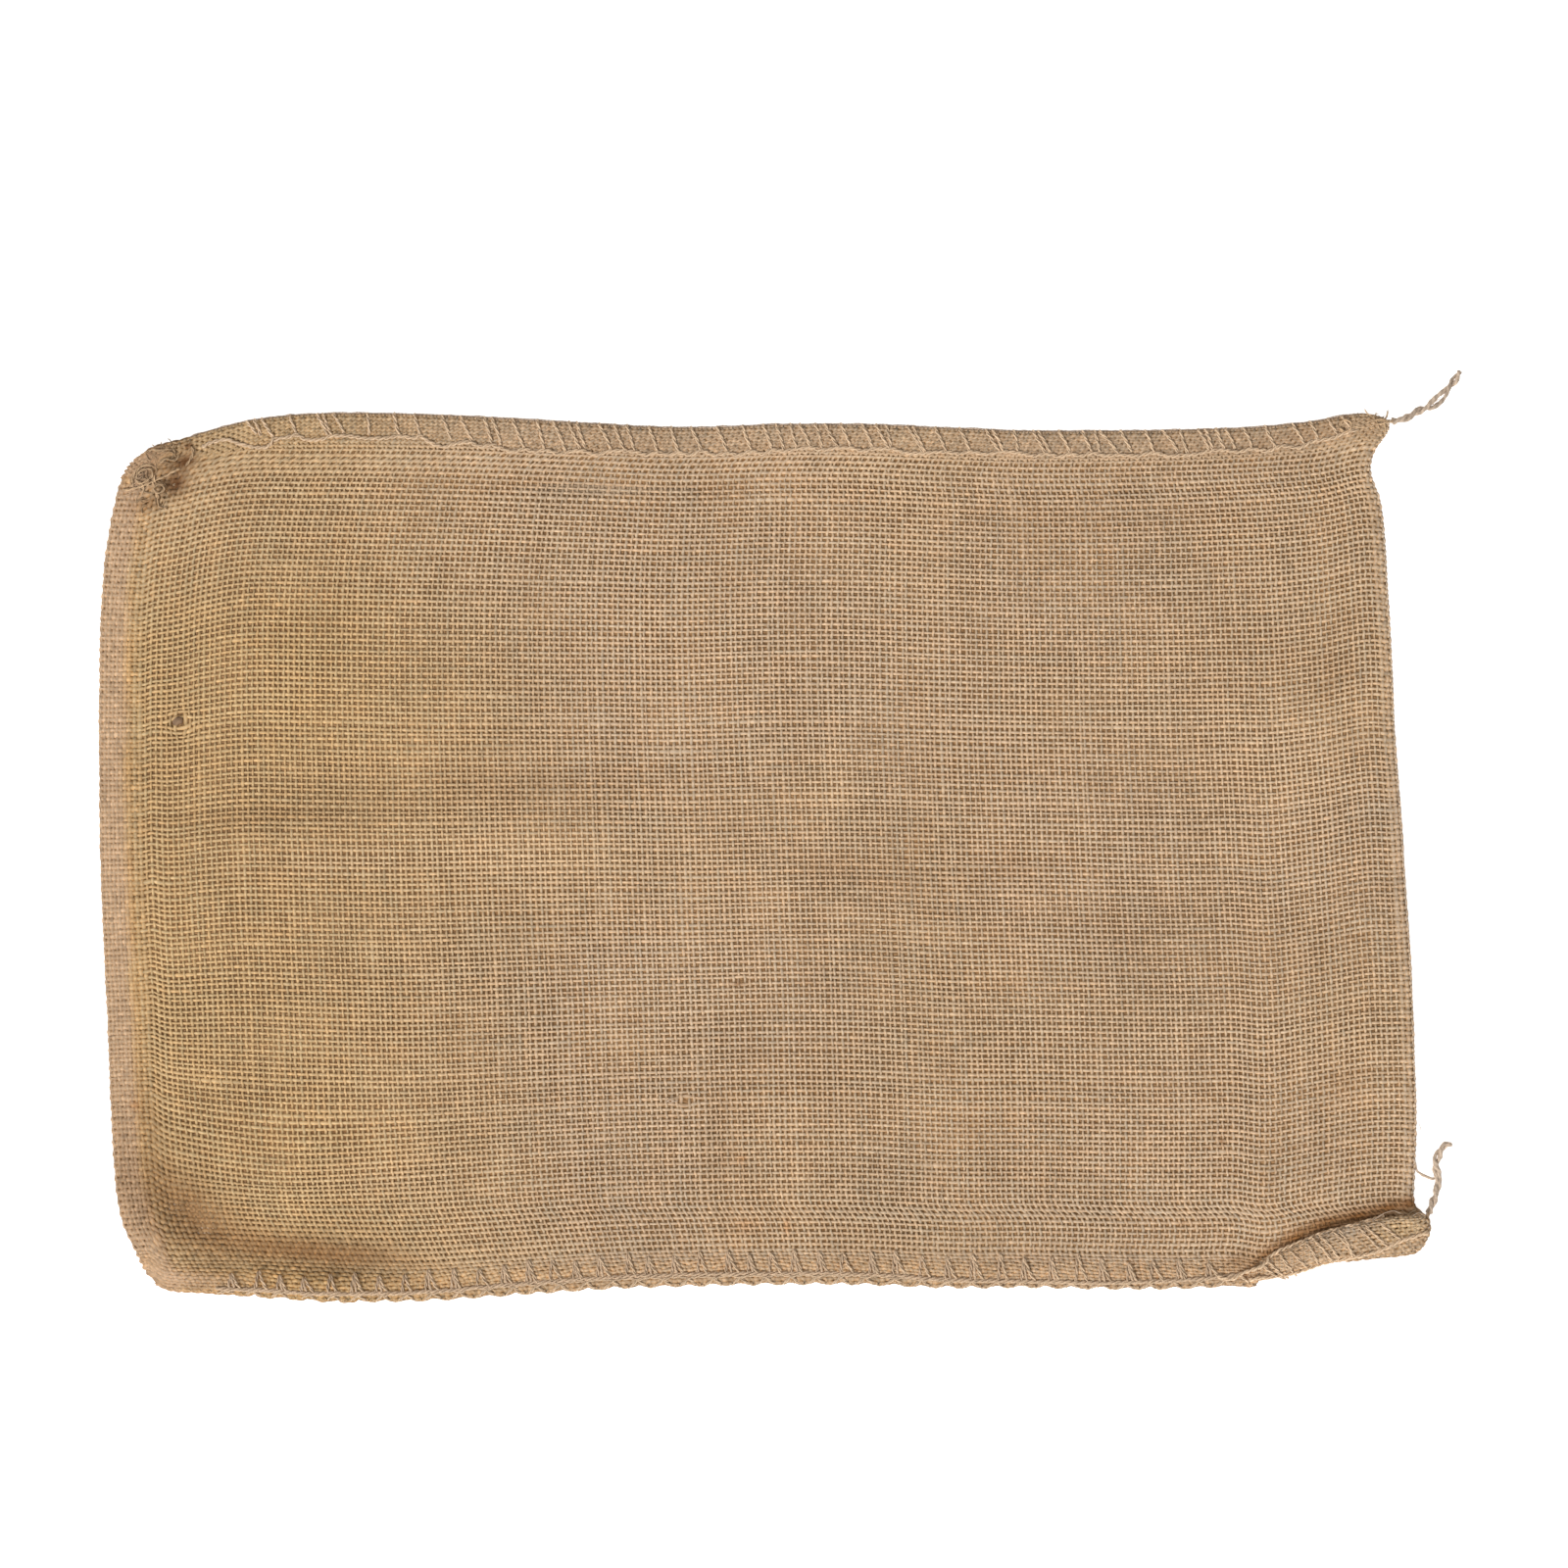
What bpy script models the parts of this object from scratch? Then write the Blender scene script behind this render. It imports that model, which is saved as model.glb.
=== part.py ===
"""An empty jute sack lying flat: one length of cloth folded across its bottom and sewn up both long sides.

The mouth faces -X and the folded bottom +X. The underside lies on z = 0, and the origin is on the
ground under the middle of the sack. Sizes and tables are in millimetres; Blender's units are metres.
"""

import math

import bmesh
import bpy
from mathutils import Vector

MM = 0.001

# Cloth and pocket, in mm
BACK_CLOTH = 1.3  # the layer on the ground
FRONT_CLOTH = 1.3  # the layer on top
PANEL_TOP = 4.9  # height of the front layer's face away from folds and seams
POCKET_MOST = 3.4  # the widest that the two layers part
POCKET_LEAST = 0.5  # where they run together at the seams and the bottom fold
POCKET_TAPER = 10.0  # the strip along a seam in which they run together
POCKET_TO_HEM = 1.0  # cloth between the pocket and a hem's foot
FOLD_WALL = 2.0  # cloth left round the bottom fold
MOUTH_OVERRUN = 14.0  # how far the pocket's cutter runs out of the mouth

# Grid of the surfaces
LENGTHWISE = 50  # steps from the mouth to the bottom fold
CROSSWISE = 30  # steps between the two hems
POCKET_LENGTHWISE = 38
POCKET_CROSSWISE = 24
END_CROWDING = 0.42  # how much closer the lengthwise steps are at the two ends
LINE_CROWDING = 0.45  # how much closer the crosswise steps are at the hems and along the middle
SQUARING_PASSES = 12
HEM_SHOULDER = 3.4  # from the outer edge to where a hem's rounded shoulder ends
HEM_CROWN = 0.12  # how much lower a hem is at its edges than in its middle, as a share

# The rounded rim from the ground up: how far it is drawn in (mm) and its share of the edge's height
RIM = ((1.3, 0.0), (0.35, 0.22), (0.0, 0.52), (0.3, 0.82))
RIM_TOP_INSET = 1.2

# The outline as it lies. Long edges: x, y
UPPER_EDGE = (
    (-283.8, 184.8), (-278.3, 187.8), (-272.5, 189.6), (-265.0, 191.6), (-257.5, 194.4), (-233.5, 200.6),
    (-206.5, 203.3), (-170.0, 203.5), (-125.0, 201.8), (-80.0, 199.2), (-40.0, 197.2), (10.0, 198.6),
    (46.0, 198.6), (82.0, 197.2), (122.0, 195.6), (190.0, 196.0), (226.0, 197.4), (253.0, 200.1),
    (272.0, 203.5), (280.0, 203.0), (287.5, 200.4), (296.0, 196.0),
)
LOWER_EDGE = (
    (-279.8, -194.6), (-276.0, -197.8), (-271.0, -199.6), (-242.0, -201.2), (-215.0, -202.8), (-180.0, -203.6),
    (-152.0, -203.2), (-116.0, -200.9), (-71.0, -198.0), (-35.0, -196.8), (36.0, -196.0), (90.0, -197.6),
    (118.0, -197.4), (172.0, -198.1), (208.0, -197.2), (230.0, -194.6), (243.5, -191.0), (255.0, -187.8),
    (278.0, -185.3), (292.0, -183.8), (299.2, -182.4), (303.0, -180.4),
)
# Ends: y, x
MOUTH_EDGE = (
    (-194.6, -279.8), (-191.0, -282.8), (-187.4, -285.2), (-183.0, -287.6), (-177.0, -290.4), (-169.5, -293.4),
    (-160.5, -295.6), (-142.5, -297.8), (-106.5, -300.0), (-70.5, -301.2), (-34.5, -303.1), (1.5, -304.3),
    (55.5, -304.9), (105.0, -304.4), (127.5, -303.1), (145.5, -300.9), (163.5, -297.3), (173.5, -294.0),
    (180.5, -289.0), (184.8, -283.8),
)
BOTTOM_EDGE = (
    (-180.4, 303.0), (-176.6, 305.0), (-172.0, 306.2), (-167.6, 306.4), (-164.6, 304.6), (-161.6, 300.6),
    (-157.5, 298.6),
    (-142.5, 299.3), (-115.5, 299.8), (-88.5, 299.0), (-52.5, 297.6), (-16.5, 295.3), (19.5, 293.0),
    (55.5, 290.2), (91.5, 288.6), (127.5, 286.5), (145.5, 285.5), (163.5, 283.2), (170.5, 280.6),
    (176.5, 278.9), (182.0, 279.4), (186.5, 281.2), (191.0, 284.0), (195.5, 286.8), (201.0, 287.6),
    (206.0, 287.0),
)

# Hems: x, depth from the outer edge, height over the ground, run of the slope down to the panel
UPPER_HEM = (
    (-300.0, 8.5, 5.4, 3.5), (-276.0, 10.0, 6.4, 3.5), (-250.0, 12.0, 6.2, 3.5), (-206.0, 17.5, 5.9, 3.0),
    (-125.0, 16.5, 5.7, 3.0), (-40.0, 15.0, 5.9, 3.0), (60.0, 15.5, 5.6, 3.0), (150.0, 15.0, 5.9, 3.0),
    (226.0, 14.5, 5.7, 3.0), (262.0, 15.5, 6.0, 3.0), (285.0, 12.0, 5.4, 3.5), (300.0, 9.0, 5.0, 3.5),
)
LOWER_HEM = (
    (-300.0, 10.0, 6.0, 5.0), (-262.0, 13.0, 6.6, 7.0), (-215.0, 14.5, 7.0, 7.5), (-165.0, 14.0, 6.4, 6.0),
    (-60.0, 13.0, 5.7, 4.5), (60.0, 12.5, 5.8, 4.0), (160.0, 12.0, 5.8, 3.5), (214.0, 11.0, 6.2, 3.0),
    (232.0, 10.5, 7.4, 1.8), (248.0, 13.8, 9.0, 1.0), (266.0, 17.0, 9.8, 0.8), (288.0, 19.2, 10.4, 0.8),
    (302.0, 17.5, 10.2, 0.8), (310.0, 16.0, 9.4, 0.8),
)

# Soft folds of the front layer: half width, height (a trough is negative), the points x, y of its line
FOLDS = (
    (15.0, 1.25, ((-268.0, 14.0), (-205.0, 15.5), (-160.0, 19.5), (-100.0, 26.0), (-55.0, 27.5))),
    (13.0, 1.1, ((-38.0, 12.0), (2.0, -8.0), (72.0, -23.0), (120.0, -12.0), (152.0, -7.0))),
    (8.0, -0.9, ((14.0, 192.0), (20.0, 150.0), (26.0, 96.0))),
    (9.0, -0.9, ((-18.0, -72.0), (-10.0, -130.0), (-3.0, -186.0))),
    (11.0, -0.8, ((-184.0, 172.0), (-110.0, 167.0), (-48.0, 168.0), (4.0, 160.0))),
    (13.0, -0.7, ((112.0, -20.0), (128.0, -90.0), (130.0, -180.0))),
    (9.0, 0.5, ((-291.0, 150.0), (-292.0, 60.0), (-292.0, -40.0), (-288.0, -120.0))),
    (
        14.0,
        3.8,
        ((-291.0, -122.0), (-288.0, -160.0), (-276.0, -184.0), (-250.0, -194.0), (-205.0, -198.0), (-168.0, -200.0)),
    ),
    (26.0, -1.3, ((-268.0, -140.0), (-252.0, -160.0), (-222.0, -174.0), (-180.0, -180.0))),
    (10.0, 3.0, ((-289.0, 166.0), (-278.0, 177.0), (-262.0, 187.0))),
)
FOLD_ENDS = 0.35  # the share of its height that a fold keeps at its two ends
FOLD_SHARPNESS = 1.6
# Slight unevenness all over: height, waves per mm along x and y (radians), phase
RIPPLES = ((0.22, 0.031, 0.012, 0.4), (0.18, -0.017, 0.043, 2.1), (0.12, 0.058, -0.029, 4.4))

# Free ends of the seam twine: x, y, z of the line through its middle
TWINE_DIAMETER = 2.8
TWINE_POINTS = 16
TAIL_TOP = (
    (288.3, 199.55, 3.0), (294.2, 200.8, 2.1), (301.8, 204.6, 1.5), (307.4, 207.8, 1.45), (312.2, 212.2, 1.45),
    (316.4, 217.2, 1.45), (320.2, 222.6, 1.45),
)
TAIL_BOTTOM = (
    (304.75, -163.55, 4.8), (307.2, -158.0, 3.0), (309.4, -152.6, 1.8), (309.8, -148.6, 1.45),
    (308.9, -144.8, 1.45), (308.7, -140.6, 1.45), (310.2, -136.2, 1.45), (313.0, -132.8, 1.45),
    (316.4, -132.4, 1.45),
)

JUTE_COLOUR = (0.447, 0.296, 0.175, 1.0)
TWINE_COLOUR = (0.392, 0.271, 0.181, 1.0)
ROUGHNESS = 0.92
SMOOTH_UNDER = math.radians(50.0)


def blend(start, end, share):
    return start + (end - start) * share


def ease(share):
    """0 to 1 with level ends."""
    share = min(max(share, 0.0), 1.0)
    return share * share * (3.0 - 2.0 * share)


def smooth_value(table, at, column=1):
    """A column's value where the first column is `at`, on a smooth curve through the rows."""
    if at <= table[0][0]:
        return table[0][column]
    if at >= table[-1][0]:
        return table[-1][column]
    row = next(k for k, entry in enumerate(table) if entry[0] >= at)

    def slope(k):
        before, after = table[max(k - 1, 0)], table[min(k + 1, len(table) - 1)]
        return (after[column] - before[column]) / (after[0] - before[0])

    run = table[row][0] - table[row - 1][0]
    t = (at - table[row - 1][0]) / run
    return (
        (2 * t**3 - 3 * t**2 + 1) * table[row - 1][column]
        + (t**3 - 2 * t**2 + t) * run * slope(row - 1)
        + (3 * t**2 - 2 * t**3) * table[row][column]
        + (t**3 - t**2) * run * slope(row)
    )


def hem_at(table, x):
    """A hem's depth, height and slope."""
    return [smooth_value(table, x, column) for column in (1, 2, 3)]


def in_outline(s, t_of_x, low, high, right_wall=0.0):
    """The point at share s from mouth to fold and share t_of_x(x) between the edges low(x) and high(x)."""
    x, y = blend(MOUTH_EDGE[0][1], BOTTOM_EDGE[0][1], s), 0.0
    for _ in range(SQUARING_PASSES):
        y = blend(low(x), high(x), t_of_x(x))
        x = blend(smooth_value(MOUTH_EDGE, y), smooth_value(BOTTOM_EDGE, y) - right_wall, s)
    return x, y


def nearest_on_line(points, x, y):
    """The distance to a line of points, and how far along it the nearest point is, from 0 to 1."""
    best, best_along, before = math.inf, 0.0, 0.0
    for (ax, ay), (bx, by) in zip(points, points[1:]):
        length = math.dist((ax, ay), (bx, by))
        share = ((x - ax) * (bx - ax) + (y - ay) * (by - ay)) / length**2
        share = min(max(share, 0.0), 1.0)
        gap = math.dist((x, y), (blend(ax, bx, share), blend(ay, by, share)))
        if gap < best:
            best, best_along = gap, before + share * length
        before += length
    return best, best_along / before


def fold_height(x, y):
    """What the soft folds and ripples add to the front layer's height."""
    total = sum(size * math.sin(x * kx + y * ky + phase) for size, kx, ky, phase in RIPPLES)
    for half_width, height, points in FOLDS:
        gap, along = nearest_on_line(points, x, y)
        fade = blend(FOLD_ENDS, 1.0, ease(5.0 * min(along, 1.0 - along)))
        total += height * fade * math.exp(-FOLD_SHARPNESS * (gap / half_width) ** 2)
    return total


def top_height(x, y):
    """The height of the sack's upper face."""
    height = PANEL_TOP + fold_height(x, y)
    from_lower = y - smooth_value(LOWER_EDGE, x)
    from_upper = smooth_value(UPPER_EDGE, x) - y
    for table, from_edge in ((LOWER_HEM, from_lower), (UPPER_HEM, from_upper)):
        depth, hem_height, slope = hem_at(table, x)
        crown = 1.0 - HEM_CROWN * (2.0 * from_edge / depth - 1.0) ** 2
        on_hem = 1.0 - ease((from_edge - depth + slope) / slope)
        height += (hem_height * crown - PANEL_TOP) * on_hem
    return height


def crowded(share):
    """Even shares drawn towards 0, a half and 1."""
    return share - LINE_CROWDING * math.sin(4.0 * math.pi * share) / (4.0 * math.pi)


def lengthwise(steps):
    """Shares from the mouth to the fold, closer together at the two ends."""
    even = [k / steps for k in range(steps + 1)]
    return [blend(u, 0.5 - 0.5 * math.cos(math.pi * u), END_CROWDING) for u in even]


def hem_stations(depth, slope):
    """Distances from the outer edge to the grid lines over a hem, the last one short of its foot."""
    crest = depth - slope
    return [0.0, HEM_SHOULDER, 0.5 * (HEM_SHOULDER + crest), crest, crest + 0.5 * slope]


def crosswise_at(x):
    """Shares from the lower to the upper edge of each grid line at x."""
    width = smooth_value(UPPER_EDGE, x) - smooth_value(LOWER_EDGE, x)
    low_depth, _, low_slope = hem_at(LOWER_HEM, x)
    high_depth, _, high_slope = hem_at(UPPER_HEM, x)
    low = [d / width for d in hem_stations(low_depth, low_slope)]
    high = [1.0 - d / width for d in hem_stations(high_depth, high_slope)]
    foot_low, foot_high = low_depth / width, 1.0 - high_depth / width
    panel = [blend(foot_low, foot_high, crowded(k / CROSSWISE)) for k in range(CROSSWISE + 1)]
    return low + panel + high[::-1]


def outer_grid():
    """Points of the sack's upper face, by lengthwise and crosswise place."""
    grid = []
    for s in lengthwise(LENGTHWISE):
        column = []
        for k in range(len(crosswise_at(0.0))):
            x, y = in_outline(
                s,
                lambda at, k=k: crosswise_at(at)[k],
                lambda at: smooth_value(LOWER_EDGE, at),
                lambda at: smooth_value(UPPER_EDGE, at),
            )
            column.append(Vector((x, y, top_height(x, y))))
        grid.append(column)
    return grid


def pocket_low(x):
    return smooth_value(LOWER_EDGE, x) + hem_at(LOWER_HEM, x)[0] + POCKET_TO_HEM


def pocket_high(x):
    return smooth_value(UPPER_EDGE, x) - hem_at(UPPER_HEM, x)[0] - POCKET_TO_HEM


def pocket_height(x, y):
    """Height of the pocket's upper face, which is the front layer's inner face."""
    lowest = BACK_CLOTH + POCKET_LEAST
    height = min(max(top_height(x, y) - FRONT_CLOTH, lowest), BACK_CLOTH + POCKET_MOST)
    fold_line = smooth_value(BOTTOM_EDGE, y) - FOLD_WALL
    to_seam = min(y - pocket_low(x), pocket_high(x) - y, fold_line - x)
    return blend(lowest, height, ease(to_seam / POCKET_TAPER))


def pocket_grid():
    """Points of the pocket's upper face; its first column lies outside the mouth."""
    grid = []
    for s in lengthwise(POCKET_LENGTHWISE):
        column = []
        for k in range(POCKET_CROSSWISE + 1):
            share = crowded(k / POCKET_CROSSWISE)
            x, y = in_outline(s, lambda at, share=share: share, pocket_low, pocket_high, FOLD_WALL)
            column.append(Vector((x, y, pocket_height(x, y))))
        grid.append(column)
    outside = [point - Vector((MOUTH_OVERRUN, 0.0, 0.0)) for point in grid[0]]
    return [outside] + grid


def border_of(grid):
    """The grid's outer points in order, anticlockwise seen from above."""
    last = len(grid[0]) - 1
    lower = [column[0] for column in grid]
    upper = [column[last] for column in reversed(grid[:-1])]
    return lower + grid[-1][1:] + upper + list(reversed(grid[0][1:last]))


def inward(loop):
    """The level unit direction into the outline at each of its points."""
    directions = []
    for k in range(len(loop)):
        along = loop[(k + 1) % len(loop)] - loop[k - 1]
        directions.append(Vector((-along.y, along.x, 0.0)).normalized())
    return directions


def solid_under(name, grid, base, rim, top_inset):
    """A closed solid: the grid above, a rim of (inset, share of the height) rings, a level underside at base."""
    mesh = bmesh.new()
    border = border_of(grid)
    pull = inward(border)
    drawn_in = {id(point): point + direction * top_inset for point, direction in zip(border, pull)}
    verts = {}
    for column in grid:
        for point in column:
            verts[id(point)] = mesh.verts.new(drawn_in.get(id(point), point) * MM)
    for left, right in zip(grid, grid[1:]):
        for k in range(len(left) - 1):
            corners = (left[k], right[k], right[k + 1], left[k + 1])
            mesh.faces.new([verts[id(point)] for point in corners])
    rings = []
    for inset, share in rim:
        ring = []
        for point, direction in zip(border, pull):
            place = point + direction * inset
            place.z = blend(base, point.z, share)
            ring.append(mesh.verts.new(place * MM))
        rings.append(ring)
    rings.append([verts[id(point)] for point in border])
    for lower, upper in zip(rings, rings[1:]):
        for k in range(len(lower)):
            after = (k + 1) % len(lower)
            mesh.faces.new((lower[k], lower[after], upper[after], upper[k]))
    mesh.faces.new(rings[0][::-1])
    data = bpy.data.meshes.new(name)
    mesh.to_mesh(data)
    mesh.free()
    return bpy.data.objects.new(name, data)


def material(name, colour):
    made = bpy.data.materials.new(name)
    made.use_nodes = True
    shader = made.node_tree.nodes["Principled BSDF"]
    shader.inputs["Base Color"].default_value = colour
    shader.inputs["Roughness"].default_value = ROUGHNESS
    shader.inputs["Metallic"].default_value = 0.0
    made.diffuse_color = colour
    return made


def make_body(parts, cutters):
    """The sack's cloth in one solid, with its pocket cut from the mouth to the bottom fold."""
    body = solid_under("sack_body", outer_grid(), 0.0, RIM, RIM_TOP_INSET)
    parts.objects.link(body)
    body.data.materials.append(material("jute_cloth", JUTE_COLOUR))
    pocket = solid_under("pocket_cutter", pocket_grid(), BACK_CLOTH, ((0.0, 0.0),), 0.0)
    cutters.objects.link(pocket)
    pocket.hide_render = True
    pocket.display_type = "WIRE"
    cut = body.modifiers.new("pocket", "BOOLEAN")
    cut.operation = "DIFFERENCE"
    cut.solver = "EXACT"
    cut.object = pocket
    body.data.shade_smooth()
    body.data.set_sharp_from_angle(angle=SMOOTH_UNDER)
    return body


def through(points, count):
    """Evenly numbered points on a smooth curve through the given ones."""
    rows = [(k, *point) for k, point in enumerate(points)]
    places = [k * (len(points) - 1) / (count - 1) for k in range(count)]
    return [Vector([smooth_value(rows, at, column) for column in (1, 2, 3)]) for at in places]


def make_tail(name, route, parts, finish):
    """A free end of seam twine."""
    curve = bpy.data.curves.new(name, "CURVE")
    curve.dimensions = "3D"
    curve.bevel_depth = TWINE_DIAMETER / 2.0 * MM
    curve.bevel_resolution = 2
    curve.use_fill_caps = True
    spline = curve.splines.new("POLY")
    points = through(route, TWINE_POINTS)
    spline.points.add(len(points) - 1)
    for place, point in zip(spline.points, points):
        place.co = (*(point * MM), 1.0)
    spline.use_smooth = True
    curve.materials.append(finish)
    parts.objects.link(bpy.data.objects.new(name, curve))


def main():
    for old in list(bpy.data.objects):
        bpy.data.objects.remove(old, do_unlink=True)
    parts = bpy.data.collections.new("jute_sack")
    cutters = bpy.data.collections.new("cutters")
    bpy.context.scene.collection.children.link(parts)
    bpy.context.scene.collection.children.link(cutters)
    make_body(parts, cutters)
    twine = material("seam_twine", TWINE_COLOUR)
    make_tail("thread_tail_top", TAIL_TOP, parts, twine)
    make_tail("thread_tail_bottom", TAIL_BOTTOM, parts, twine)


main()
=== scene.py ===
"""The looks of an empty jute sack lying flat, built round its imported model.

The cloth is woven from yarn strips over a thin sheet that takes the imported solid's form. Tables and sizes
are in millimetres, as the sack lies: +X runs from the mouth to the folded bottom, +Y to the flat-sewn side.
"""

import math

import bmesh
import bpy
import numpy as np
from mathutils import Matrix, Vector
from mathutils.bvhtree import BVHTree

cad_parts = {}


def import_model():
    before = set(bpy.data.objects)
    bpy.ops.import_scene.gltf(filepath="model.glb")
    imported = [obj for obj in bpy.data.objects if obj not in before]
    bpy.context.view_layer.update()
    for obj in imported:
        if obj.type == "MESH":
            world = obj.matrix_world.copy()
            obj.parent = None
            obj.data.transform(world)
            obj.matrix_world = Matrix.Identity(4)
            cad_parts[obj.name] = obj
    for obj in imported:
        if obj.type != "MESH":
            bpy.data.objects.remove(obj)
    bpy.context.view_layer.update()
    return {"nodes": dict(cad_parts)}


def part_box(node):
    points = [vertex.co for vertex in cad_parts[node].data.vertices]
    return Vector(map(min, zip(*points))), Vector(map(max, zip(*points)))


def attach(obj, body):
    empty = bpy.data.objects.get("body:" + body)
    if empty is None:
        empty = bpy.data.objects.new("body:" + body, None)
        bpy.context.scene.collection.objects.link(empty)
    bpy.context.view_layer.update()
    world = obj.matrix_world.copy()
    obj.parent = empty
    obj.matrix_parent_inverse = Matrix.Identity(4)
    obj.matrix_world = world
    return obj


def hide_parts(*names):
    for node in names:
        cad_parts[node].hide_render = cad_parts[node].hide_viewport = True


MM = 0.001

# Camera over the sack: what it looks at and how high it stands, in metres
LOOK_AT = (0.0097, 0.0331, 0.0)
VIEW_WIDTH = 0.720
FOCAL_LENGTH = 85.0
SENSOR = 36.0

# Outline as it lies. Long edges: x, y
UPPER_EDGE = (
    (-283.8, 184.8), (-278.3, 187.8), (-272.5, 189.6), (-265.0, 191.6), (-257.5, 194.4), (-233.5, 200.6),
    (-206.5, 203.3), (-170.0, 203.5), (-125.0, 201.8), (-80.0, 199.2), (-40.0, 197.2), (10.0, 198.6),
    (46.0, 198.6), (82.0, 197.2), (122.0, 195.6), (190.0, 196.0), (226.0, 197.4), (253.0, 200.1),
    (272.0, 203.5), (280.0, 203.0), (287.5, 200.4),
)
LOWER_EDGE = (
    (-279.8, -194.6), (-276.0, -197.8), (-271.0, -199.6), (-242.0, -201.2), (-215.0, -202.8),
    (-180.0, -203.6), (-152.0, -203.2), (-116.0, -200.9), (-71.0, -198.0), (-35.0, -196.8),
    (36.0, -196.0), (90.0, -197.6), (118.0, -197.4), (172.0, -198.1), (208.0, -197.2), (230.0, -194.6),
    (243.5, -191.0), (255.0, -187.8), (278.0, -185.3), (292.0, -183.8), (299.2, -182.4), (303.0, -180.4),
)
# Where the lower edge would lie if its end weren't rolled up: x, y
UNROLLED_EDGE = ((200.0, -197.5), (230.0, -197.6), (260.0, -197.2), (300.0, -196.6))
# Ends: y, x
MOUTH_EDGE = (
    (-194.6, -279.8), (-191.0, -282.8), (-187.4, -285.2), (-183.0, -287.6), (-177.0, -290.4),
    (-169.5, -293.4), (-160.5, -295.6), (-142.5, -297.8), (-106.5, -300.0), (-70.5, -301.2),
    (-34.5, -303.1), (1.5, -304.3), (55.5, -304.9), (105.0, -304.4), (127.5, -303.1), (145.5, -300.9),
    (163.5, -297.3), (173.5, -294.0), (180.5, -289.0), (184.8, -283.8),
)
BOTTOM_EDGE = (
    (-180.4, 301.4), (-176.6, 303.2), (-172.0, 304.4), (-167.6, 304.6), (-164.6, 303.2), (-161.6, 300.0),
    (-157.5, 298.6), (-142.5, 299.3), (-115.5, 299.8), (-88.5, 299.0), (-52.5, 297.6), (-16.5, 295.3),
    (19.5, 293.0), (55.5, 290.2), (91.5, 288.6), (127.5, 286.5), (145.5, 285.5), (163.5, 283.2),
    (170.5, 280.6), (176.5, 278.9), (182.0, 279.4), (186.5, 281.2), (191.0, 284.0), (195.5, 286.8),
    (200.4, 287.5),
)
# Depths of the two sewn hems, inside the outline: x, depth
UPPER_HEM = (
    (-300.0, 9.5), (-276.0, 10.0), (-250.0, 12.0), (-206.0, 16.5), (-125.0, 16.0), (-40.0, 14.5),
    (60.0, 15.0), (150.0, 14.5), (226.0, 14.0), (262.0, 14.5), (285.0, 12.0), (300.0, 9.0),
)
LOWER_HEM = (
    (-300.0, 11.0), (-262.0, 13.0), (-215.0, 14.0), (-165.0, 13.5), (-60.0, 13.0), (60.0, 12.5),
    (160.0, 12.0), (214.0, 11.0), (232.0, 10.5), (248.0, 13.8), (266.0, 17.0), (288.0, 19.2),
    (302.0, 17.5), (310.0, 16.0),
)

# How far inside the outline the outermost yarns' middles lie
UPPER_INSET = 0.9
LOWER_INSET = 0.45
MOUTH_INSET = 0.7
FOLD_INSET = 0.6

# Weave
PITCH_X = 2.47  # between neighbouring crosswise-lying yarns (warps)
PITCH_Y = 2.5  # between neighbouring lengthwise yarns (wefts)
WAVE = 0.40  # how far a yarn rises and dips at a crossing
SINK = 0.62  # how far the weave's middle lies below the cloth's upper face
WEFT_HALF = 0.68  # half widths of the yarns in the open cloth
WARP_HALF = 0.62
CLOSED_HALF = 0.475  # the same in closed cloth, of the distance between neighbours
CREST = 0.30  # a yarn's ridge over its path
FLANK = 0.42  # its two sides under its path
SHOULDER = 0.3  # of a pitch: where a yarn's rise is modelled on each side of a crest

# The seam twine's free ends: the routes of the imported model's cords
TAIL_TOP = (
    (288.3, 199.55, 3.0), (294.2, 200.8, 2.1), (301.8, 204.6, 1.5), (307.4, 207.8, 1.45),
    (312.2, 212.2, 1.45), (316.4, 217.2, 1.45), (320.2, 222.6, 1.45),
)
TAIL_BOTTOM = (
    (304.75, -163.55, 4.8), (307.2, -158.0, 3.0), (309.4, -152.6, 1.8), (309.8, -148.6, 1.45),
    (308.9, -144.8, 1.45), (308.7, -140.6, 1.45), (310.2, -136.2, 1.45), (313.0, -132.8, 1.45),
    (316.4, -132.4, 1.45),
)
TAIL_STRAND = 1.05  # radius of one of a tail's two strands
TAIL_OFFSET = 0.80  # of their middles from the tail's own
TAIL_LAY = 13.0  # length in which they turn half round each other

# Places read off the photograph are given in its own pixels
PIXEL = 0.45
MIDDLE_PIXEL = (778.5, 873.5)


# --- tables, noise and small tools -------------------------------------------------------------------


def smooth_table(table, at):
    """Values of a table's second column at the places `at`, on a smooth curve through its rows."""
    xs = np.array([row[0] for row in table])
    ys = np.array([row[1] for row in table])
    slopes = np.empty_like(ys)
    slopes[1:-1] = (ys[2:] - ys[:-2]) / (xs[2:] - xs[:-2])
    slopes[0] = (ys[1] - ys[0]) / (xs[1] - xs[0])
    slopes[-1] = (ys[-1] - ys[-2]) / (xs[-1] - xs[-2])
    at = np.clip(at, xs[0], xs[-1])
    k = np.clip(np.searchsorted(xs, at) - 1, 0, len(xs) - 2)
    run = xs[k + 1] - xs[k]
    t = (at - xs[k]) / run
    return (
        (2 * t**3 - 3 * t**2 + 1) * ys[k]
        + (t**3 - 2 * t**2 + t) * run * slopes[k]
        + (3 * t**2 - 2 * t**3) * ys[k + 1]
        + (t**3 - t**2) * run * slopes[k + 1]
    )


def low_inset(x):
    """How far inside the lower outline the outermost yarns' middles lie: more towards both corners."""
    return LOWER_INSET + 1.3 * ease((x - 195.0) / 75.0) + 0.8 * ease((-190.0 - x) / 40.0)


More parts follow.
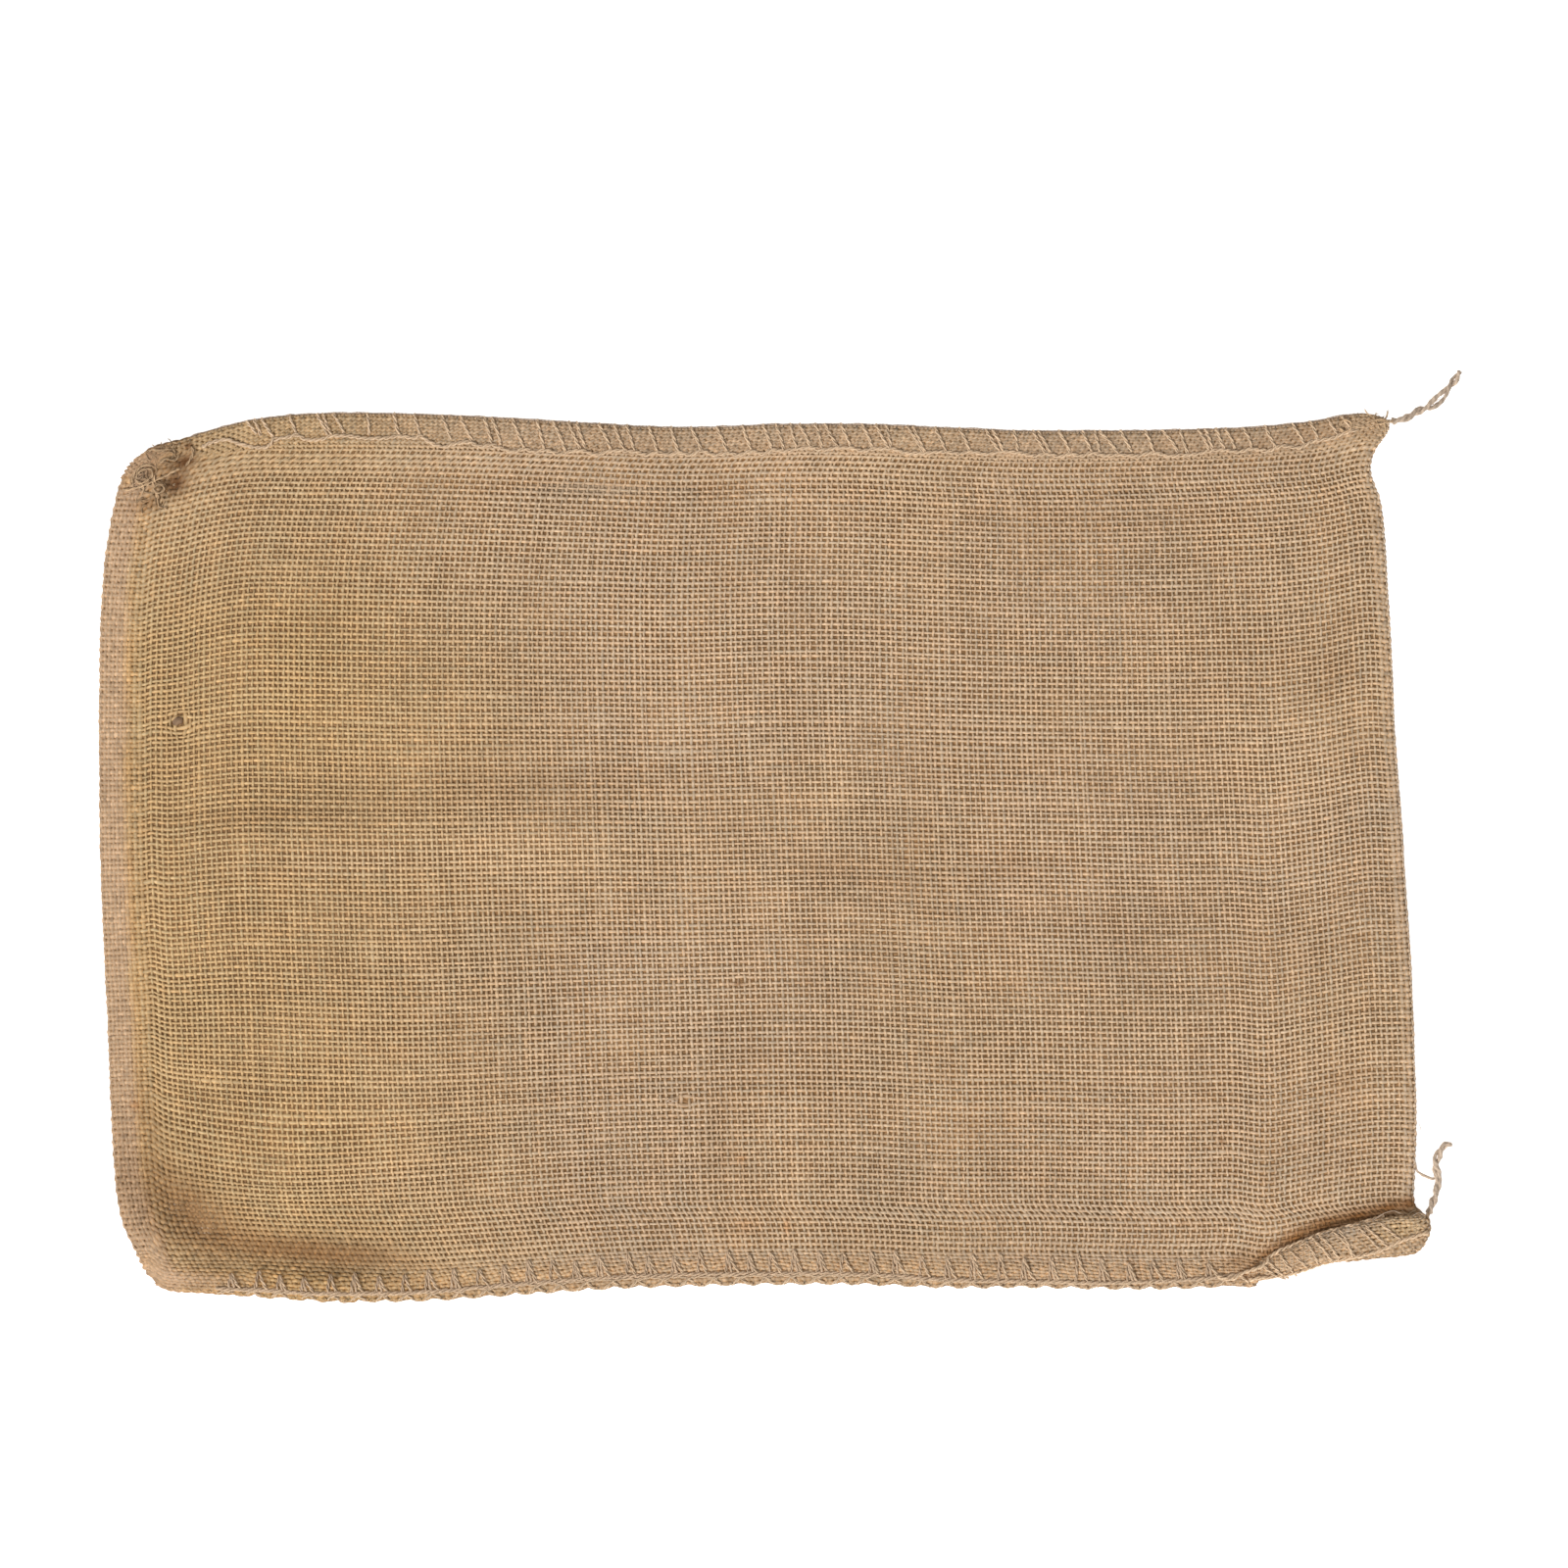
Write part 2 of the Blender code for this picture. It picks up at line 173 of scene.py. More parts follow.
# Where the outermost yarns' middles lie: at the lower and upper edge for an x, at the mouth and fold for a y


def low(x):
    return smooth_table(LOWER_EDGE, x) + low_inset(x)


def unrolled_low(x):
    """The lower edge as the panel's rows follow it, under the roll too."""
    part = ease((x - 205.0) / 25.0)
    return low(x) * (1.0 - part) + smooth_table(UNROLLED_EDGE, x) * part


def high(x):
    return smooth_table(UPPER_EDGE, x) - UPPER_INSET


def left(y):
    return smooth_table(MOUTH_EDGE, y) + MOUTH_INSET + 1.2 * ease((-168.0 - y) / 18.0)


def right(y):
    return smooth_table(BOTTOM_EDGE, y) - FOLD_INSET


def lower_hem(x):
    """Depth of the lower hem, from the outermost yarn's middle."""
    return smooth_table(LOWER_HEM, x) - low_inset(x)


def upper_hem(x):
    """Depth of the upper hem, from the outermost yarn's middle."""
    return smooth_table(UPPER_HEM, x) - UPPER_INSET


def ease(t):
    """A soft step: 0 up to t = 0, 1 from t = 1 on."""
    t = np.clip(t, 0.0, 1.0)
    return t * t * (3.0 - 2.0 * t)


def unit(vectors):
    return vectors / np.linalg.norm(vectors, axis=-1, keepdims=True)


def run_along(path):
    """Each point's distance along a path from its start."""
    return np.concatenate([[0.0], np.cumsum(np.linalg.norm(np.diff(path, axis=0), axis=1))])


def between_corners(a, b, c, d, u, v):
    """The value at the shares u and v of the way between four corners."""
    return (a * (1 - u) + b * u) * (1 - v) + (c * (1 - u) + d * u) * v


def cloud(x, y, cell_x, cell_y, seed):
    """Smooth random values from -1 to 1, with cells of the given sizes."""
    values = np.random.default_rng(seed).uniform(-1.0, 1.0, (64, 64))
    u, v = np.asarray(x) / cell_x + 1000.0, np.asarray(y) / cell_y + 1000.0
    i, j = np.floor(u).astype(int), np.floor(v).astype(int)
    corners = [values[(i + di) % 64, (j + dj) % 64] for dj in (0, 1) for di in (0, 1)]
    return between_corners(*corners, ease(u - i), ease(v - j))


def line_cloud(at, own, cell, seed):
    """Smooth random values from -1 to 1 along a line; lines with other `own` values differ."""
    return cloud(at, 0.0 * at + own, cell, 1.0, seed)


def seen(px, py):
    """The place on the sack, in mm, of a pixel of the photograph."""
    return (px - MIDDLE_PIXEL[0]) * PIXEL, (MIDDLE_PIXEL[1] - py) * PIXEL


def bump(x, y, cx, cy, rx, ry, angle=0.0):
    """1 at a place, falling softly to 0 at about its two radii."""
    c, s = math.cos(math.radians(angle)), math.sin(math.radians(angle))
    u = ((x - cx) * c + (y - cy) * s) / rx
    v = (-(x - cx) * s + (y - cy) * c) / ry
    return np.exp(-1.6 * (u * u + v * v))


# Lumps and ridges (positive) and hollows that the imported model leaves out: pixel of the middle, radii in mm,
# turn in degrees, height in mm
SMALL_FORMS = (
    # the crumpled corner
    ((158, 466), 6.5, 4, 30, 1.8), ((146, 488), 5, 5.5, 0, 1.8), ((163, 500), 5, 3.2, 20, 1.5),
    ((187, 467), 6, 4.2, 35, -2), ((179, 494), 5.5, 5, 0, -2), ((172, 480), 5.5, 1.8, 25, 1.5),
    ((205, 470), 9, 3, 28, 1), ((150, 515), 4, 5, 10, 0.9), ((168, 517), 4.5, 3, 0, -0.9),
    # the rim and the slope at the lower left
    ((196, 1238), 34, 12, -42, -1.6), ((330, 1288), 42, 7, -5, -1.5), ((140, 1180), 7, 34, 6, -0.9),
    ((124, 1215), 8, 28, 14, 0.9), ((196, 1300), 26, 6.5, -16, 0.9), ((232, 1278), 20, 4.5, -22, 0.6),
    # soft creases across the panel
    ((290, 852), 62, 8, 4, 1.5), ((480, 846), 46, 8.5, 3, 1.5), ((600, 846), 32, 8, 0, 1.1),
    ((330, 800), 80, 12, 3, -0.8), ((560, 790), 60, 13, 5, -0.9), ((850, 918), 30, 6, -14, 1.2),
    ((960, 938), 28, 6, -2, 1.2), ((1062, 912), 26, 6, 16, 1.3), ((1000, 870), 60, 10, 4, -0.8),
    ((1180, 1010), 40, 14, -28, 0.8), ((822, 520), 4.5, 40, -4, 0.9), ((762, 1180), 5.5, 52, 3, 0.9),
    ((740, 1180), 7, 50, 3, -0.6), ((596, 500), 90, 5, 0, -0.7), ((1130, 500), 70, 5, 0, -0.5),
    ((1400, 700), 7, 60, 2, 0.6), ((560, 620), 40, 22, 20, 0.6), ((980, 620), 34, 26, -15, 0.6),
    ((450, 1080), 44, 20, 10, 0.6), ((930, 1100), 44, 20, -8, 0.6), ((1250, 820), 30, 30, 0, 0.6),
    ((250, 640), 34, 18, 12, 0.6),
)


def small_forms(x, y):
    total = 0.0 * x
    for pixel, rx, ry, turn, height in SMALL_FORMS:
        total = total + height * bump(x, y, *seen(*pixel), rx, ry, turn)
    return total


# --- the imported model's form -------------------------------------------------------------------------


MOUTH_RADIUS = 2.4  # of the mouth's edge, seen from the side
ROLL_START = 222.0  # the lower hem is rolled up from here to the fold
ROLL_CLEAR = 9.0  # how far beyond its foot the roll no longer lifts the panel


def rounded(inside, radius):
    """The share of its height that a rounded edge has at a distance inside the outline."""
    t = np.clip(1.0 - inside / radius, 0.0, 1.0)
    return 0.5 + 0.5 * np.sqrt(1.0 - t * t)


class Relief:
    """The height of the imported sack's upper face, read on a grid from above."""

    STEP = 2.0
    MARGIN = 6.0
    SPREADING = 8  # rounds in which the heights are carried outwards
    SMOOTHING = 6  # rounds in which facets are taken out
    UNREAD = 4.0  # height where none is known

    def __init__(self, body):
        vertices = [v.co for v in body.data.vertices]
        tree = BVHTree.FromPolygons(vertices, [tuple(p.vertices) for p in body.data.polygons])
        (x0, y0, _), (x1, y1, _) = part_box("sack_body")
        self.x0 = x0 / MM - self.MARGIN
        self.y0 = y0 / MM - self.MARGIN
        nx = int((x1 / MM + self.MARGIN - self.x0) / self.STEP) + 1
        ny = int((y1 / MM + self.MARGIN - self.y0) / self.STEP) + 1
        grid = np.full((nx, ny), np.nan)
        down = Vector((0.0, 0.0, -1.0))
        for i in range(nx):
            for j in range(ny):
                start = Vector(((self.x0 + i * self.STEP) * MM, (self.y0 + j * self.STEP) * MM, 0.1))
                hit = tree.ray_cast(start, down)[0]
                if hit:
                    grid[i, j] = hit.z / MM
        self.grid = self.smoothed(self.spread(grid))

    @staticmethod
    def spread(grid):
        """Carries the heights at the outline outwards into the empty cells."""
        for _ in range(Relief.SPREADING):
            empty = np.isnan(grid)
            nx, ny = grid.shape
            padded = np.pad(grid, 1, constant_values=np.nan)
            around = np.stack([padded[i : i + nx, j : j + ny] for i in (0, 1, 2) for j in (0, 1, 2)])
            known = ~np.isnan(around)
            total = np.where(known, around, 0.0).sum(axis=0)
            count = np.maximum(known.sum(axis=0), 1)
            grid = np.where(empty & known.any(axis=0), total / count, grid)
        return np.nan_to_num(grid, nan=Relief.UNREAD)

    def smoothed(self, grid):
        """Takes the facets out of the open cloth and leaves the hems as they are."""
        x = self.x0 + self.STEP * np.arange(grid.shape[0])[:, None] + 0.0 * grid
        y = self.y0 + self.STEP * np.arange(grid.shape[1])[None, :] + 0.0 * grid
        inner = np.minimum(y - low(x) - lower_hem(x), high(x) - upper_hem(x) - y)
        share = ease((inner - 2.0) / 8.0) * ease((np.minimum(x - left(y), right(y) - x) - 3.0) / 6.0)
        soft = grid.copy()
        for _ in range(self.SMOOTHING):
            padded = np.pad(soft, 1, mode="edge")
            around = padded[2:, 1:-1] + padded[:-2, 1:-1] + padded[1:-1, 2:] + padded[1:-1, :-2]
            soft = 0.5 * soft + 0.125 * around
        return grid * (1.0 - share) + soft * share

    def at(self, x, y):
        """Height of the cloth's upper face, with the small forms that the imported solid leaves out."""
        return self.packed(x, y) + small_forms(x, y)

    def beside_roll(self, x, y, top):
        """Takes the height next to the roll down to that of the panel."""
        foot = low(x) + lower_hem(x)
        panel = self.packed(x, foot + ROLL_CLEAR)
        near = ease((x - ROLL_START - 3.0) / 8.0) * ease((foot + ROLL_CLEAR - y) / 3.0)
        return top + (np.minimum(top, panel) - top) * near

    def cover(self, x, y):
        """Height of the yarns' middles, rounded down at the outline."""
        side_x = np.minimum(x - left(y) + MOUTH_RADIUS, right(y) - x)
        side_y = np.minimum(y - low(x), high(x) - y)
        x_in = np.clip(x, left(y) + 1.5, right(y) - FOLD_RADIUS)
        y_in = np.clip(y, low(x) + HEM_RADIUS, high(x) - HEM_RADIUS)
        lift = rounded(side_x, FOLD_RADIUS) * rounded(side_y, HEM_RADIUS)
        return GROUND_GAP + (self.at(x_in, y_in) - SINK - GROUND_GAP) * lift

    def packed(self, x, y):
        """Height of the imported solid's upper face."""
        u = np.clip((x - self.x0) / self.STEP, 0, self.grid.shape[0] - 1.001)
        v = np.clip((y - self.y0) / self.STEP, 0, self.grid.shape[1] - 1.001)
        i, j = u.astype(int), v.astype(int)
        corners = [self.grid[i + di, j + dj] for dj in (0, 1) for di in (0, 1)]
        return between_corners(*corners, u - i, v - j)


# --- colour over the sack ----------------------------------------------------------------------------

# Linear colours
TWINE = np.array((0.770, 0.560, 0.368))
GREY_TWINE = np.array((0.710, 0.508, 0.338))
# Twine along the upper edge, painted dark as the shade of that edge
SHADED_RIM_TWINE = np.array((0.500, 0.375, 0.280))
HUSK = np.array((0.300, 0.188, 0.112))
TAIL_TINT = np.array((0.640, 0.495, 0.370))
YARN = np.array((0.682, 0.510, 0.342))
# The same, as shares of the yarn's
GOLD = np.array((1.03, 0.98, 0.815))
ROSE = np.array((0.985, 0.985, 1.03))
BAND = np.array((0.910, 0.852, 0.846))
TANGLED = np.array((1.00, 0.94, 0.84))
CREASE = np.array((1.00, 0.83, 0.56))
ORANGE = np.array((1.12, 0.74, 0.42))
# Painted shade (dark and deep) for creases, hollows, holes and slopes turned from the light, and painted light
# (pale) on slopes turned to it
PAINTED_SHADE = np.array((0.46, 0.29, 0.15))
DEEP_SHADE = np.array((0.27, 0.150, 0.070))
PAINTED_LIGHT = np.array((1.20, 1.19, 1.16))
# Painted shade on a yarn's two sides, as shares of its crest's colour: in the open cloth, the closed cloth and
# the band
FLANK_SHADE = np.array((0.885, 0.780, 0.610))
CLOSED_FLANK_SHADE = np.array((0.80, 0.63, 0.43))
BAND_FLANK_SHADE = np.array((0.90, 0.77, 0.62))
BAND_WIDTH = 12.6  # of the pale band along the mouth
BAND_CORNER = (150, 1262)  # pixel round which it is wider
DIP_SHADE = (0.05, 0.21)  # off a weft and a warp where they dip, at half their height
CLOSED_DIP = 0.25  # painted shade off both in closed cloth
# Taken off or added, as shares
HEM_SHADE = np.array((0.095, 0.113, 0.148))  # off the upper hem
SEAM_LIGHT = np.array((0.12, 0.06, -0.03))  # on the lower hem
CHAIN_SHADE = 0.17  # off the cloth under the loops of the lower edge
RIM_SHADE = np.array((0.24, 0.24, 0.21))  # off the upper hem's outer edge
FOLD_LIGHT = np.array((0.26, 0.30, 0.36))  # on the yarns that turn down round the bottom fold
# Stained and slubbed places, painted shade in creases, hollows, holes and on slopes turned from the light, and
# painted light on slopes turned to it: pixel, radii, turn, strength, colour
STAINS_SHADE_AND_LIGHT = (
    ((186, 1302), 20, 6, -14, 0.85, BAND), ((215, 1303), 26, 4.5, -6, 0.6, 1.06 * BAND),
    ((142, 484), 9, 13, -24, 0.70, 1.02 * BAND), ((222, 452), 16, 7, 12, 0.75, GOLD),
    ((1322, 447), 28, 6, 10, 0.20, PAINTED_SHADE), ((1424, 1251), 16, 6.5, 14, 0.75, 1.36 * GOLD),
    ((124, 1180), 5, 40, 8, 0.14, PAINTED_SHADE), ((270, 440), 22, 6, 0, 0.5, GOLD),
    ((132, 492), 3.4, 4, 0, 0.6, CREASE), ((170, 480), 17, 15, 20, 0.42, PAINTED_SHADE),
    ((152, 516), 9, 4.6, 10, 0.52, PAINTED_SHADE), ((192, 472), 7, 4, 24, 1, DEEP_SHADE),
    ((181, 494), 7.2, 5.4, 42, 1, DEEP_SHADE), ((195, 456), 3.2, 1.8, 14, 0.9, DEEP_SHADE),
    ((160, 1180), 10, 34, 8, 0.26, PAINTED_SHADE), ((196, 1236), 38, 18, -40, 0.64, PAINTED_SHADE),
    ((306, 1275), 54, 9.5, -7, 0.74, PAINTED_SHADE), ((150, 1128), 8, 22, 4, 0.14, PAINTED_SHADE),
    ((376, 1279), 28, 6, -4, 0.36, PAINTED_SHADE), ((1262, 1284), 10, 4.5, 30, 0.45, PAINTED_SHADE),
    ((260, 834), 52, 6, 3, 0.17, PAINTED_SHADE), ((520, 806), 42, 11, 2, 0.19, PAINTED_SHADE),
    ((350, 815), 95, 15, 3, 0.07, PAINTED_SHADE), ((665, 798), 30, 9, 0, 0.10, PAINTED_SHADE),
    ((860, 890), 36, 7, -8, 0.15, PAINTED_SHADE), ((1036, 882), 18, 9, 0, 0.20, PAINTED_SHADE),
    ((930, 900), 80, 24, -4, 0.07, PAINTED_SHADE), ((1120, 950), 34, 12, -32, 0.06, PAINTED_SHADE),
    ((530, 494), 60, 6, 0, 0.16, PAINTED_SHADE), ((745, 500), 22, 8, 0, 0.18, PAINTED_SHADE),
    ((1100, 528), 75, 9, 0, 0.12, PAINTED_SHADE), ((1361, 680), 10, 26, 0, 0.14, PAINTED_SHADE),
    ((1370, 1106), 14, 14, 0, 0.14, PAINTED_SHADE), ((1300, 960), 60, 20, -22, 0.06, PAINTED_SHADE),
    ((740, 1180), 16, 44, 3, 0.14, PAINTED_SHADE), ((190, 780), 28, 14, 0, 0.09, PAINTED_SHADE),
    ((310, 640), 34, 14, 10, 0.07, PAINTED_SHADE), ((1440, 500), 16, 30, 0, 0.10, PAINTED_SHADE),
    ((380, 877), 60, 7.5, 2, 0.46, PAINTED_LIGHT), ((560, 876), 46, 8.5, 0, 0.62, PAINTED_LIGHT),
    ((846, 806), 22, 20, 0, 0.34, PAINTED_LIGHT), ((880, 478), 16, 8, 0, 0.30, PAINTED_LIGHT),
    ((631, 1069), 34, 12, 0, 0.22, PAINTED_LIGHT), ((430, 1200), 70, 12, 4, 0.26, PAINTED_LIGHT),
    ((1200, 1060), 30, 16, 0, 0.18, PAINTED_LIGHT), ((330, 560), 50, 24, 0, 0.16, PAINTED_LIGHT),
    ((1290, 800), 30, 16, 0, 0.18, PAINTED_LIGHT), ((560, 560), 40, 14, 0, 0.14, PAINTED_LIGHT),
    ((755, 1003), 3.4, 1.2, 10, 0.8, PAINTED_SHADE), ((825, 1000), 1.6, 1.3, 0, 0.7, PAINTED_SHADE),
    ((1245, 1163), 1.8, 3, 12, 0.75, PAINTED_SHADE), ((1207, 1248), 2.2, 1.2, 0, 0.6, PAINTED_SHADE),
    ((757, 1182), 2.4, 1.6, 0, 0.8, ORANGE), ((761, 1249), 6, 4, 0, 0.35, ORANGE),
    ((803, 1250), 2, 5, 0, 0.5, ORANGE), ((140, 1127), 3, 2, 0, 0.5, ORANGE),
    ((698, 1126), 2.6, 1.6, 0, 0.5, PAINTED_SHADE), ((183, 735), 2.6, 1.8, 0, 0.7, DEEP_SHADE),
)
# Painted shade in the crevice beside the roll, in the same columns
CREVICE_SHADE = (
    ((1290, 1280), 13, 3.6, 34, 0.86, PAINTED_SHADE), ((1322, 1261), 14, 4.2, 24, 1, PAINTED_SHADE),
    ((1352, 1248), 14, 4.4, 17, 1, PAINTED_SHADE), ((1384, 1240), 14, 4.4, 14, 1, PAINTED_SHADE),
    ((1414, 1232), 13, 4.4, 14, 1, PAINTED_SHADE), ((1438, 1227), 8, 4.6, 14, 0.95, PAINTED_SHADE),
)


# How far inside the outermost yarns' middles the hems' lean and their colour begin
UPPER_LEAN = 16.1
LOWER_LEAN = 15.5
UPPER_COLOUR = 15.1
LOWER_COLOUR = 13.5


def on_upper_hem(x, y, start):
    """1 on the upper hem, from `start` mm inside its outermost yarn."""
    return ease((y - high(x) + start) / 4.0)


def off_upper_rim(x, y):
    """0 on the upper hem's outer edge, 1 inside it."""
    return 1.0 - ease((y - high(x) + 3.3) / 2.0)


def lean_of(x, y):
    """How far the raised parts of the warps lean to the side, in mm."""
    hem = on_upper_hem(x, y, UPPER_LEAN) - ease((low(x) + LOWER_LEAN - y) / 6.0)
    across = 0.28 * np.clip((y - 20.0) / 150.0, -1.0, 1.0)
    return (across + 0.05 + 0.30 * hem) * off_upper_rim(x, y)


def rise_of(x, y):
    """How far the raised parts of the wefts rise to the right in the upper hem, in mm."""
    return 0.50 * on_upper_hem(x, y, UPPER_LEAN) * off_upper_rim(x, y)


def mixed(tint, colour, share):
    return tint * (1.0 - share) + colour * share


# Mixes in the table's colours: stains, painted shade and painted light
def stained_and_shaded(tint, x, y, stains_and_shading):
    for pixel, rx, ry, turn, strength, colour in stains_and_shading:
        share = strength * bump(x, y, *seen(*pixel), rx, ry, turn)
        tint = mixed(tint, YARN * colour, share[:, None])
    return tint


def yarn_value(yarn, x, y):
    """Brightness of a yarn along its path: its own, soft clouds, and painted shade where it dips."""
    own = np.random.default_rng(500 + 1000 * yarn.run + yarn.number)
    value = 1.0 + own.normal(0.0, 0.032) + 0.09 * line_cloud(yarn.at, 3.7 * yarn.number, 3.0, 21 + yarn.run)
    value = value + 0.065 * cloud(x, y, 60.0, 45.0, 23) + 0.045 * cloud(x, y, 17.0, 14.0, 24)
    value = value + own.normal(0.0, 0.07, len(x))
    band = ease((left(y) + 16.0 - x) / 4.0)
    hem = on_upper_hem(x, y, UPPER_COLOUR)
    fall = DIP_SHADE[yarn.run] + CLOSED_DIP * yarn.closed * (1.0 - 0.8 * band) * (1.0 - 0.35 * hem)
    value = value * (1.0 - fall * (1.0 - yarn.height)) * (0.97 - 0.05 * yarn.closed)
    return value + yarn.closed * own.normal(0.0, 0.09, len(x))


def jute_tint(x, y):
    """The cloth's broad colour: golden towards the mouth, rosier towards the fold."""
    golden = ease((-40.0 - x) / 190.0) * (1.0 - 0.45 * ease((y - 90.0) / 90.0))
    golden = np.clip(golden + 0.20 * cloud(x, y, 70.0, 70.0, 25), 0.0, 1.1)[:, None]
    return YARN * mixed(ROSE, GOLD, golden)


def mouth_tint(tint, x, y):
    """Adds the pale band along the mouth and the golden crease beside it."""
    width = BAND_WIDTH + 1.8 * cloud(x, y, 8.0, 14.0, 35)
    width = width + 7.0 * bump(x, y, *seen(*BAND_CORNER), 18.0, 18.0)
    tint = mixed(tint, YARN * BAND, 0.85 * ease((left(y) + width - x) / 6.0 + 0.5)[:, None])
    crease = bump(x - left(y), y, 13.6, 20.0, 3.0, 240.0) * (0.42 + 0.3 * cloud(x, y, 9.0, 12.0, 36))
    return mixed(tint, YARN * CREASE, crease[:, None])


def edge_tint(tint, x, y):
    """Shades the hems, the outer edges and the bottom fold."""
    chain = ease((low(x) + 4.4 - y) / 1.6) * (1.0 - ease((x - ROLL_START) / 10.0))
    for share, change in (
        (on_upper_hem(x, y, UPPER_COLOUR), -HEM_SHADE),
        (ease((low(x) + LOWER_COLOUR - y) / 4.0), SEAM_LIGHT),
        (chain, -CHAIN_SHADE),
        (ease((y - high(x) + 0.7) / 0.8), -RIM_SHADE),
        (ease((x - right(y) + 2.2) / 1.2), FOLD_LIGHT),
    ):
        tint = tint * (1.0 + share[:, None] * change)
    return tint


def weave_tint(yarn, stains_and_shading):
    """Linear colour of a yarn along its path, with the table's stains, painted shade and painted light."""
    x, y = yarn.path[:, 0], yarn.path[:, 1]
    warm = line_cloud(yarn.at, 5.1 * yarn.number, 5.0, 31 + yarn.run)[:, None]
    tint = jute_tint(x, y) * (1.0 + 0.045 * warm * np.array((1.0, -0.2, -1.4)))
    tint = edge_tint(mouth_tint(tint, x, y), x, y)
    return stained_and_shaded(tint, x, y, stains_and_shading) * yarn_value(yarn, x, y)[:, None]


def flank_shade(yarn):
    """The painted shade on a yarn's two sides: how much darker they are than its crest."""
    on_band = ease((left(yarn.path[:, 1]) + 15.0 - yarn.path[:, 0]) / 4.0)[:, None]
    return mixed(mixed(FLANK_SHADE, CLOSED_FLANK_SHADE, yarn.closed[:, None]), BAND_FLANK_SHADE, on_band)


# --- where the yarns cross ---------------------------------------------------------------------------

PANEL = (600.0, 397.0)  # length and width from which the yarns are counted
SETTLING = 14  # rounds in which the crossings settle between the curved edges
FOLD_RADIUS = 2.4  # of the bottom fold and of the sewn edges, seen from the side
HEM_RADIUS = 2.8
RIM_TURNS = (125.0, 85.0, 45.0, 8.0)  # degrees past the top at which yarns lie on a sewn edge
FOLD_TURNS = (58.0, 116.0)  # the same on the bottom fold
SELVEDGE_COLUMNS = 8
SELVEDGE_PITCH = 1.86
SELVEDGE_START = 0.8
HEM_ROWS = 8
HEM_SPREAD = 1.12  # over 1 where a hem's rows lie wider apart inwards
LOWER_HEM_COUNT = 13.0  # depths of the hems from which their rows are counted
UPPER_HEM_COUNT = 15.0
LOWER_REACH = 3.2  # how far past the hems' feet their closer rows go
UPPER_REACH = 0.6
# Where the cloth is pushed together: pixel, radii, turn, how closed
CLOSED_PLACES = (
    ((190, 1246), 46, 20, -40, 0.95), ((310, 1278), 54, 11, -6, 0.9), ((150, 1160), 9, 44, 6, 0.7),
    ((166, 484), 15, 18, 0, 0.95),
)
# Where the lengthwise yarns swerve: x, y, radii, how far in mm
SWERVES = (
    (-292, -128, 42, 52, 9), (-225, -140, 62, 30, -6.5), (-285, 120, 40, 60, -3),
)
# Holes where the yarns have been pushed apart: x, y, radii, how far in mm
HOLES = ((-268.0, 62.0, 6.0, 6.0, 2.6), (-36.2, -113.6, 4.0, 4.2, 1.6), (-10.6, -58.3, 3.0, 3.0, 0.9))
RIM_LIFT = 0.18  # how far the yarns that turn round an edge stand out past those along it
GROUND_GAP = 0.9  # lowest that a yarn's middle goes at a rounded edge


def turned(degrees):
    """How far in a yarn lies on a rounded edge, as a share of the radius, and its share of the height."""
    angle = math.radians(degrees)
    return 1.0 - math.sin(angle), 0.5 + 0.5 * math.cos(angle)


def stations_across():
    """Each column's share from mouth to fold, its distances from both, and its share of the height."""
    last = SELVEDGE_START + SELVEDGE_PITCH * (SELVEDGE_COLUMNS - 1)
    middle = int(round((PANEL[0] - 2.0 - last - FOLD_RADIUS) / PITCH_X))
    columns = [(0.0, SELVEDGE_START + SELVEDGE_PITCH * k, 0.0, 1.0) for k in range(SELVEDGE_COLUMNS)]
    columns += [(k / middle, last, FOLD_RADIUS, 1.0) for k in range(1, middle + 1)]
    for degrees in FOLD_TURNS:
        inside, lift = turned(degrees)
        columns.append((1.0, 0.0, FOLD_RADIUS * inside, lift))
    return np.array(columns).T[..., None]


def hem_rows():
    """Rows over one hem from under its edge inwards: their factors of radius and of width, and their lift."""
    rows = []
    for degrees in RIM_TURNS:
        inside, lift = turned(degrees)
        rows.append((inside, 0.0, lift))
    rows += [(1.0, (k / HEM_ROWS) ** HEM_SPREAD, 1.0) for k in range(1, HEM_ROWS + 1)]
    return np.array(rows)


def between(line, place):
    """The middle between two neighbours of a line of places that is nearest to a place."""
    middles = 0.5 * (line[1:] + line[:-1])
    return middles[np.argmin(np.abs(middles - place))]


LENS = 11.7  # length of the twine's lens-shaped loops along the lower edge
LENS_RANGE = (-246.0, 216.0)
LENS_PLACE = 1.6  # x at which one of them starts
SCALLOP = 1.45  # how far the cloth bulges out between their stitches


def lens_turn(x):
    """Where x stands along the chain of lens-shaped loops, in half turns."""
    return (x + 1.5 * line_cloud(x, 0.0, 23.0, 41) - LENS_PLACE) / LENS


def scallop(x):
    """How far the cloth bulges out between the stitches of the lower edge."""
    inside = ease((x - LENS_RANGE[0]) / 10.0) * ease((LENS_RANGE[1] - x) / 10.0)
    return SCALLOP * inside * (np.abs(np.sin(math.pi * lens_turn(x))) - 0.55)


def facing(points):
    return unit(np.cross(np.gradient(points, axis=0), np.gradient(points, axis=1)))


def off_edges(share):
    """0 at both ends of a share, 1 in its middle."""
    return np.clip(4.0 * share * (1.0 - share), 0.0, 1.0) ** 0.5


def pushed_apart(x, y):
    """Opens the holes."""
    for hole_x, hole_y, rx, ry, part in HOLES:
        cx = between(x[:, np.argmin(np.abs(y[len(y) // 2] - hole_y))], hole_x)
        cy = between(y[np.argmin(np.abs(x[:, 0] - hole_x))], hole_y)
        opened = part * bump(x, y, cx, cy, rx, ry)
        x, y = x + 0.7 * opened * np.tanh((x - cx) / 1.2), y + opened * np.tanh((y - cy) / 1.2)
    return x, y


